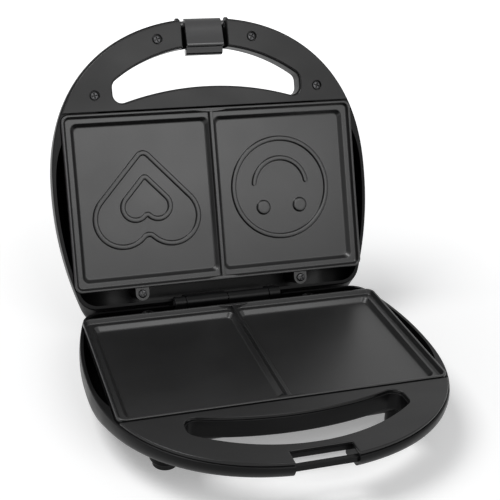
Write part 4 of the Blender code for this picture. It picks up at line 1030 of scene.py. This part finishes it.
def coated_casting(name, rgb):
    """Sprayed non-stick coating on a casting: fine orange peel, paler specks and a few smooth rubbed patches."""
    tree, sockets, coords = new_finish(name, {"Specular IOR Level": 0.5})
    broad = noise(tree, coords, 18.0, 4.0)
    peel = noise(tree, coords, 900.0)
    speck = noise(tree, coords, 3200.0, 1.0)
    tint = blended(tree, mapped(tree, broad, 0.0, 1.0, 0.3, 0.7), shaded(rgb, 0.90), shaded(rgb, 1.10))
    tint = blended(tree, mapped(tree, speck, 0.0, 0.8, 0.62, 0.74), tint, shaded(rgb, 2.2))
    dress(tree, sockets, tint, mapped(tree, broad, 0.28, 0.35, 0.3, 0.7),
          [(peel, 0.18, 0.00015), (speck, 0.12, 0.00006)])


def worked_metal(name, rgb, roughness, along):
    """Drawn, rolled or plated metal, with fine lines along one axis."""
    tree, sockets, coords = new_finish(name, {"Metallic": 1.0})
    scales = [2600.0, 2600.0, 2600.0]
    scales[along] = 40.0
    lines = noise(tree, stretched(tree, coords, scales), 1.0, 3.0)
    cloud = noise(tree, coords, 45.0, 4.0)
    tint = blended(tree, mapped(tree, cloud, 0.0, 1.0, 0.3, 0.7), shaded(rgb, 0.82), shaded(rgb, 1.12))
    dress(tree, sockets, tint, mapped(tree, lines, roughness - 0.08, roughness + 0.12, 0.25, 0.75),
          [(lines, 0.15, 0.00008)])


def soft_rubber(name, rgb):
    """Rubber with a fine grain and a little pale dust."""
    tree, sockets, coords = new_finish(name, {"Specular IOR Level": 0.35})
    dust = noise(tree, coords, 260.0, 5.0)
    tint = blended(tree, mapped(tree, dust, 0.0, 1.0, 0.45, 0.75), shaded(rgb, 1.0), shaded(rgb, 2.4))
    dress(tree, sockets, tint, mapped(tree, dust, 0.68, 0.86), [(noise(tree, coords, 2400.0), 0.3, 0.0001)])


def clear_lens(name, rgb):
    """Tinted clear plastic."""
    tree, sockets, coords = new_finish(name, {"Coat Weight": 0.6, "Coat Roughness": 0.05,
                                              "Transmission Weight": 0.35})
    depth = noise(tree, coords, 500.0)
    dress(tree, sockets, blended(tree, depth, shaded(rgb, 0.75), shaded(rgb, 1.2)), mapped(tree, depth, 0.10, 0.20),
          [(depth, 0.04, 0.0001)])


def glazed_ceramic(name, rgb):
    """Fired ceramic with fine pores."""
    tree, sockets, coords = new_finish(name, {"Specular IOR Level": 0.45})
    pores = noise(tree, coords, 1500.0, 3.0)
    tint = blended(tree, mapped(tree, pores, 0.0, 1.0, 0.35, 0.65), shaded(rgb, 0.88), shaded(rgb, 1.0))
    dress(tree, sockets, tint, mapped(tree, pores, 0.50, 0.70), [(pores, 0.2, 0.0001)])


# Each material slot's colour, maker and what the maker is told
finish_rows = {
    "shell_plastic": ("shell", moulded_plastic, 0.33, 1900.0, 0.16, 0.12),
    "cover_plastic": ("cover", moulded_plastic, 0.36, 2600.0, 0.20, 0.25, 0.0, 0.11),
    "latch_plastic": ("latch", moulded_plastic, 0.16, 1200.0, 0.03, 0.5, 0.3),
    "non_stick": ("coating", coated_casting),
    "bare_aluminium": ("aluminium", worked_metal, 0.36, 0),
    "element_sheath": ("sheath", worked_metal, 0.46, 0),
    "plated_steel": ("zinc", worked_metal, 0.30, 0),
    "dark_steel": ("screw", worked_metal, 0.34, 1),
    "foot_rubber": ("rubber", soft_rubber),
    "red_lens": ("red", clear_lens),
    "green_lens": ("green", clear_lens),
    "ceramic": ("ceramic", glazed_ceramic),
}


def finish_of(slot):
    """The finish for one of the record's material slots, made once."""
    name = slot + "_finish"
    if name not in bpy.data.materials:
        key, maker, *told = finish_rows[slot]
        maker(name, tuple(getattr(settings("finishes"), key)), *told)
    return bpy.data.materials[name]


def finish_inner_pieces():
    """Gives each of the construction's own pieces the finish that the record names for it."""
    for part in frame["record"]["subparts"]:
        piece = frame["nodes"][part["node"]]
        if not piece.hide_render:
            piece.data.materials.clear()
            piece.data.materials.append(finish_of(part["material_slot"]))


# Stage

def seen_rays(tree):
    """1 for the rays that see, mirror or look through, 0 for those that light."""
    rays = add(tree, "LightPath").outputs
    seen = calculated(tree, "MAXIMUM", rays["Is Camera Ray"], rays["Is Glossy Ray"])
    return calculated(tree, "MAXIMUM", seen, rays["Is Transmission Ray"])


def make_floor():
    """A pale floor that keeps the shadow, and looks paler away from the machine, like a backdrop."""
    stage = settings("stage")
    half_size, near, far, painted_shade_depth = 6.0, 0.08, 0.9, 0.68
    body = bmesh.new()
    bmesh.ops.create_grid(body, x_segments=2, y_segments=2, size=half_size)
    floor = in_scene("floor", bpy.data.meshes.new("floor"))
    body.to_mesh(floor.data)
    body.free()
    tree, sockets, coords = new_finish("pale_floor", {
        "Base Color": (*stage.floor, 1.0), "Roughness": 0.9, "Specular IOR Level": 0.1,
        "Emission Color": (1.0, 1.0, 1.0, 1.0)})
    away = add(tree, "VectorMath", {0: coords}, operation="LENGTH")
    # Glow grows with the distance from the machine; the weaker glow near it is painted shade under and round the
    # machine
    lift = mapped(tree, away.outputs["Value"], stage.lift, stage.lift + painted_shade_depth, near, far)
    tree.links.new(calculated(tree, "MULTIPLY", seen_rays(tree), lift), sockets["Emission Strength"])
    floor.data.materials.append(bpy.data.materials["pale_floor"])


def make_world():
    """Even light all round, which is seen and mirrored as white."""
    world = bpy.data.worlds.new("studio")
    world.use_nodes = True
    tree = world.node_tree
    tree.nodes.clear()
    cool, white = (0.96, 0.98, 1.0, 1.0), (1.0, 1.0, 1.0, 1.0)
    plain = add(tree, "Background", {"Color": cool, "Strength": settings("stage").world})
    bright = add(tree, "Background", {"Color": white, "Strength": 1.0})
    mix = add(tree, "MixShader", {0: seen_rays(tree), 1: plain.outputs[0], 2: bright.outputs[0]})
    add(tree, "OutputWorld", {"Surface": mix.outputs[0]})
    bpy.context.scene.world = world


def soft_light(name, place, target, size, power):
    """A square soft light that faces the target."""
    made = in_scene(name, bpy.data.lights.new(name, "AREA"))
    made.data.shape = "RECTANGLE"
    made.data.size = made.data.size_y = size
    made.data.energy = power
    made.location = place
    made.rotation_euler = (Vector(target) - Vector(place)).to_track_quat("-Z", "Y").to_euler()


def make_camera():
    """The camera of the product view, turned about its target and rolled a little."""
    stage = settings("stage")
    camera = in_scene("camera", bpy.data.cameras.new("camera"))
    camera.data.lens = stage.lens
    camera.data.sensor_width = 36.0
    camera.data.clip_start = 0.01
    back = Vector((math.sin(stage.azimuth) * math.cos(stage.elevation),
                   -math.cos(stage.azimuth) * math.cos(stage.elevation), math.sin(stage.elevation)))
    level = Vector((0, 0, 1)).cross(back).normalized()
    steep = back.cross(level)
    c, s = math.cos(stage.roll), math.sin(stage.roll)
    right, up, place = c * level + s * steep, c * steep - s * level, Vector(stage.target) + stage.distance * back
    camera.matrix_world = Matrix((
        (right.x, up.x, back.x, place.x),
        (right.y, up.y, back.y, place.y),
        (right.z, up.z, back.z, place.z),
        (0.0, 0.0, 0.0, 1.0)))
    bpy.context.scene.camera = camera


def make_stage():
    stage = settings("stage")
    lit, key_place, key_size = (0.0, 0.0, 0.08), (0.24, -1.0, 0.8), 0.7
    top_place, top_size = (-0.75, 0.05, 1.5), 0.8
    make_floor()
    make_world()
    soft_light("key_light", key_place, lit, key_size, stage.key)
    soft_light("top_light", top_place, lit, top_size, stage.top)
    make_camera()
    bpy.context.scene.view_settings.view_transform = "Standard"


# Operators, one for each piece or group of pieces

def piece_operator(word, label, about, *makers):
    """The class of an operator that runs the makers."""
    def execute(self, context):
        for maker in makers:
            maker()
        return {"FINISHED"}

    return type("SANDWICH_OT_" + word, (Operator,), {"__doc__": about, "bl_idname": "sandwich." + word,
                                                     "bl_label": label, "execute": execute})


operators = tuple(piece_operator(*row) for row in (
    ("shells", "Shells", "Models the base's and the lid's moulded shells", make_base_shell, make_lid_shell),
    ("covers", "Handle covers", "Models the flat faces of both handles",
     lambda: make_cover("base"), lambda: make_cover("lid")),
    ("plates", "Cooking plates", "Models the cooking plates with their wells and ridges", make_plates),
    ("latch", "Latch clip", "Models the latch clip", make_latch),
    ("screws", "Screws", "Models the screws that show", make_screws),
    ("fittings", "Feet, lamps and gland", "Models the feet, the lamps and the lead's gland", make_fittings),
    ("inner_pieces", "Inner pieces", "Gives the pieces inside their finishes", finish_inner_pieces),
    ("stage", "Stage", "Sets up the floor, the light and the camera", make_stage),
))
property_groups = {"shell": ShellSizes, "handle": HandleSizes, "plate": PlateSizes, "hinge": HingeSizes,
                   "finishes": Finishes, "stage": StageSettings}


class SANDWICH_PT_panel(Panel):
    """Lists the machine's pieces"""
    bl_label = "Sandwich Maker"
    bl_idname = "SANDWICH_PT_panel"
    bl_space_type = "VIEW_3D"
    bl_region_type = "UI"
    bl_category = "Sandwich Maker"

    def draw(self, context):
        for made in operators:
            self.layout.operator(made.bl_idname)
        for name, group in property_groups.items():
            rows = self.layout.box()
            rows.label(text=group.__doc__)
            for key in group.__annotations__:
                rows.prop(settings(name), key, text=key.replace("_", " ").capitalize())


def register():
    for name, group in property_groups.items():
        bpy.utils.register_class(group)
        setattr(bpy.types.Scene, "sandwich_" + name, PointerProperty(type=group))
    for made in operators + (SANDWICH_PT_panel,):
        bpy.utils.register_class(made)


def unregister():
    for made in reversed(operators + (SANDWICH_PT_panel,)):
        bpy.utils.unregister_class(made)
    for name, group in reversed(property_groups.items()):
        delattr(bpy.types.Scene, "sandwich_" + name)
        bpy.utils.unregister_class(group)


def main():
    for left_over in list(bpy.data.objects):
        if left_over.name in ("Cube", "Light", "Camera"):
            bpy.data.objects.remove(left_over, do_unlink=True)
    register()
    for made in operators:
        getattr(bpy.ops.sandwich, made.bl_idname.split(".")[1])()


if __name__ == "__main__":
    main()
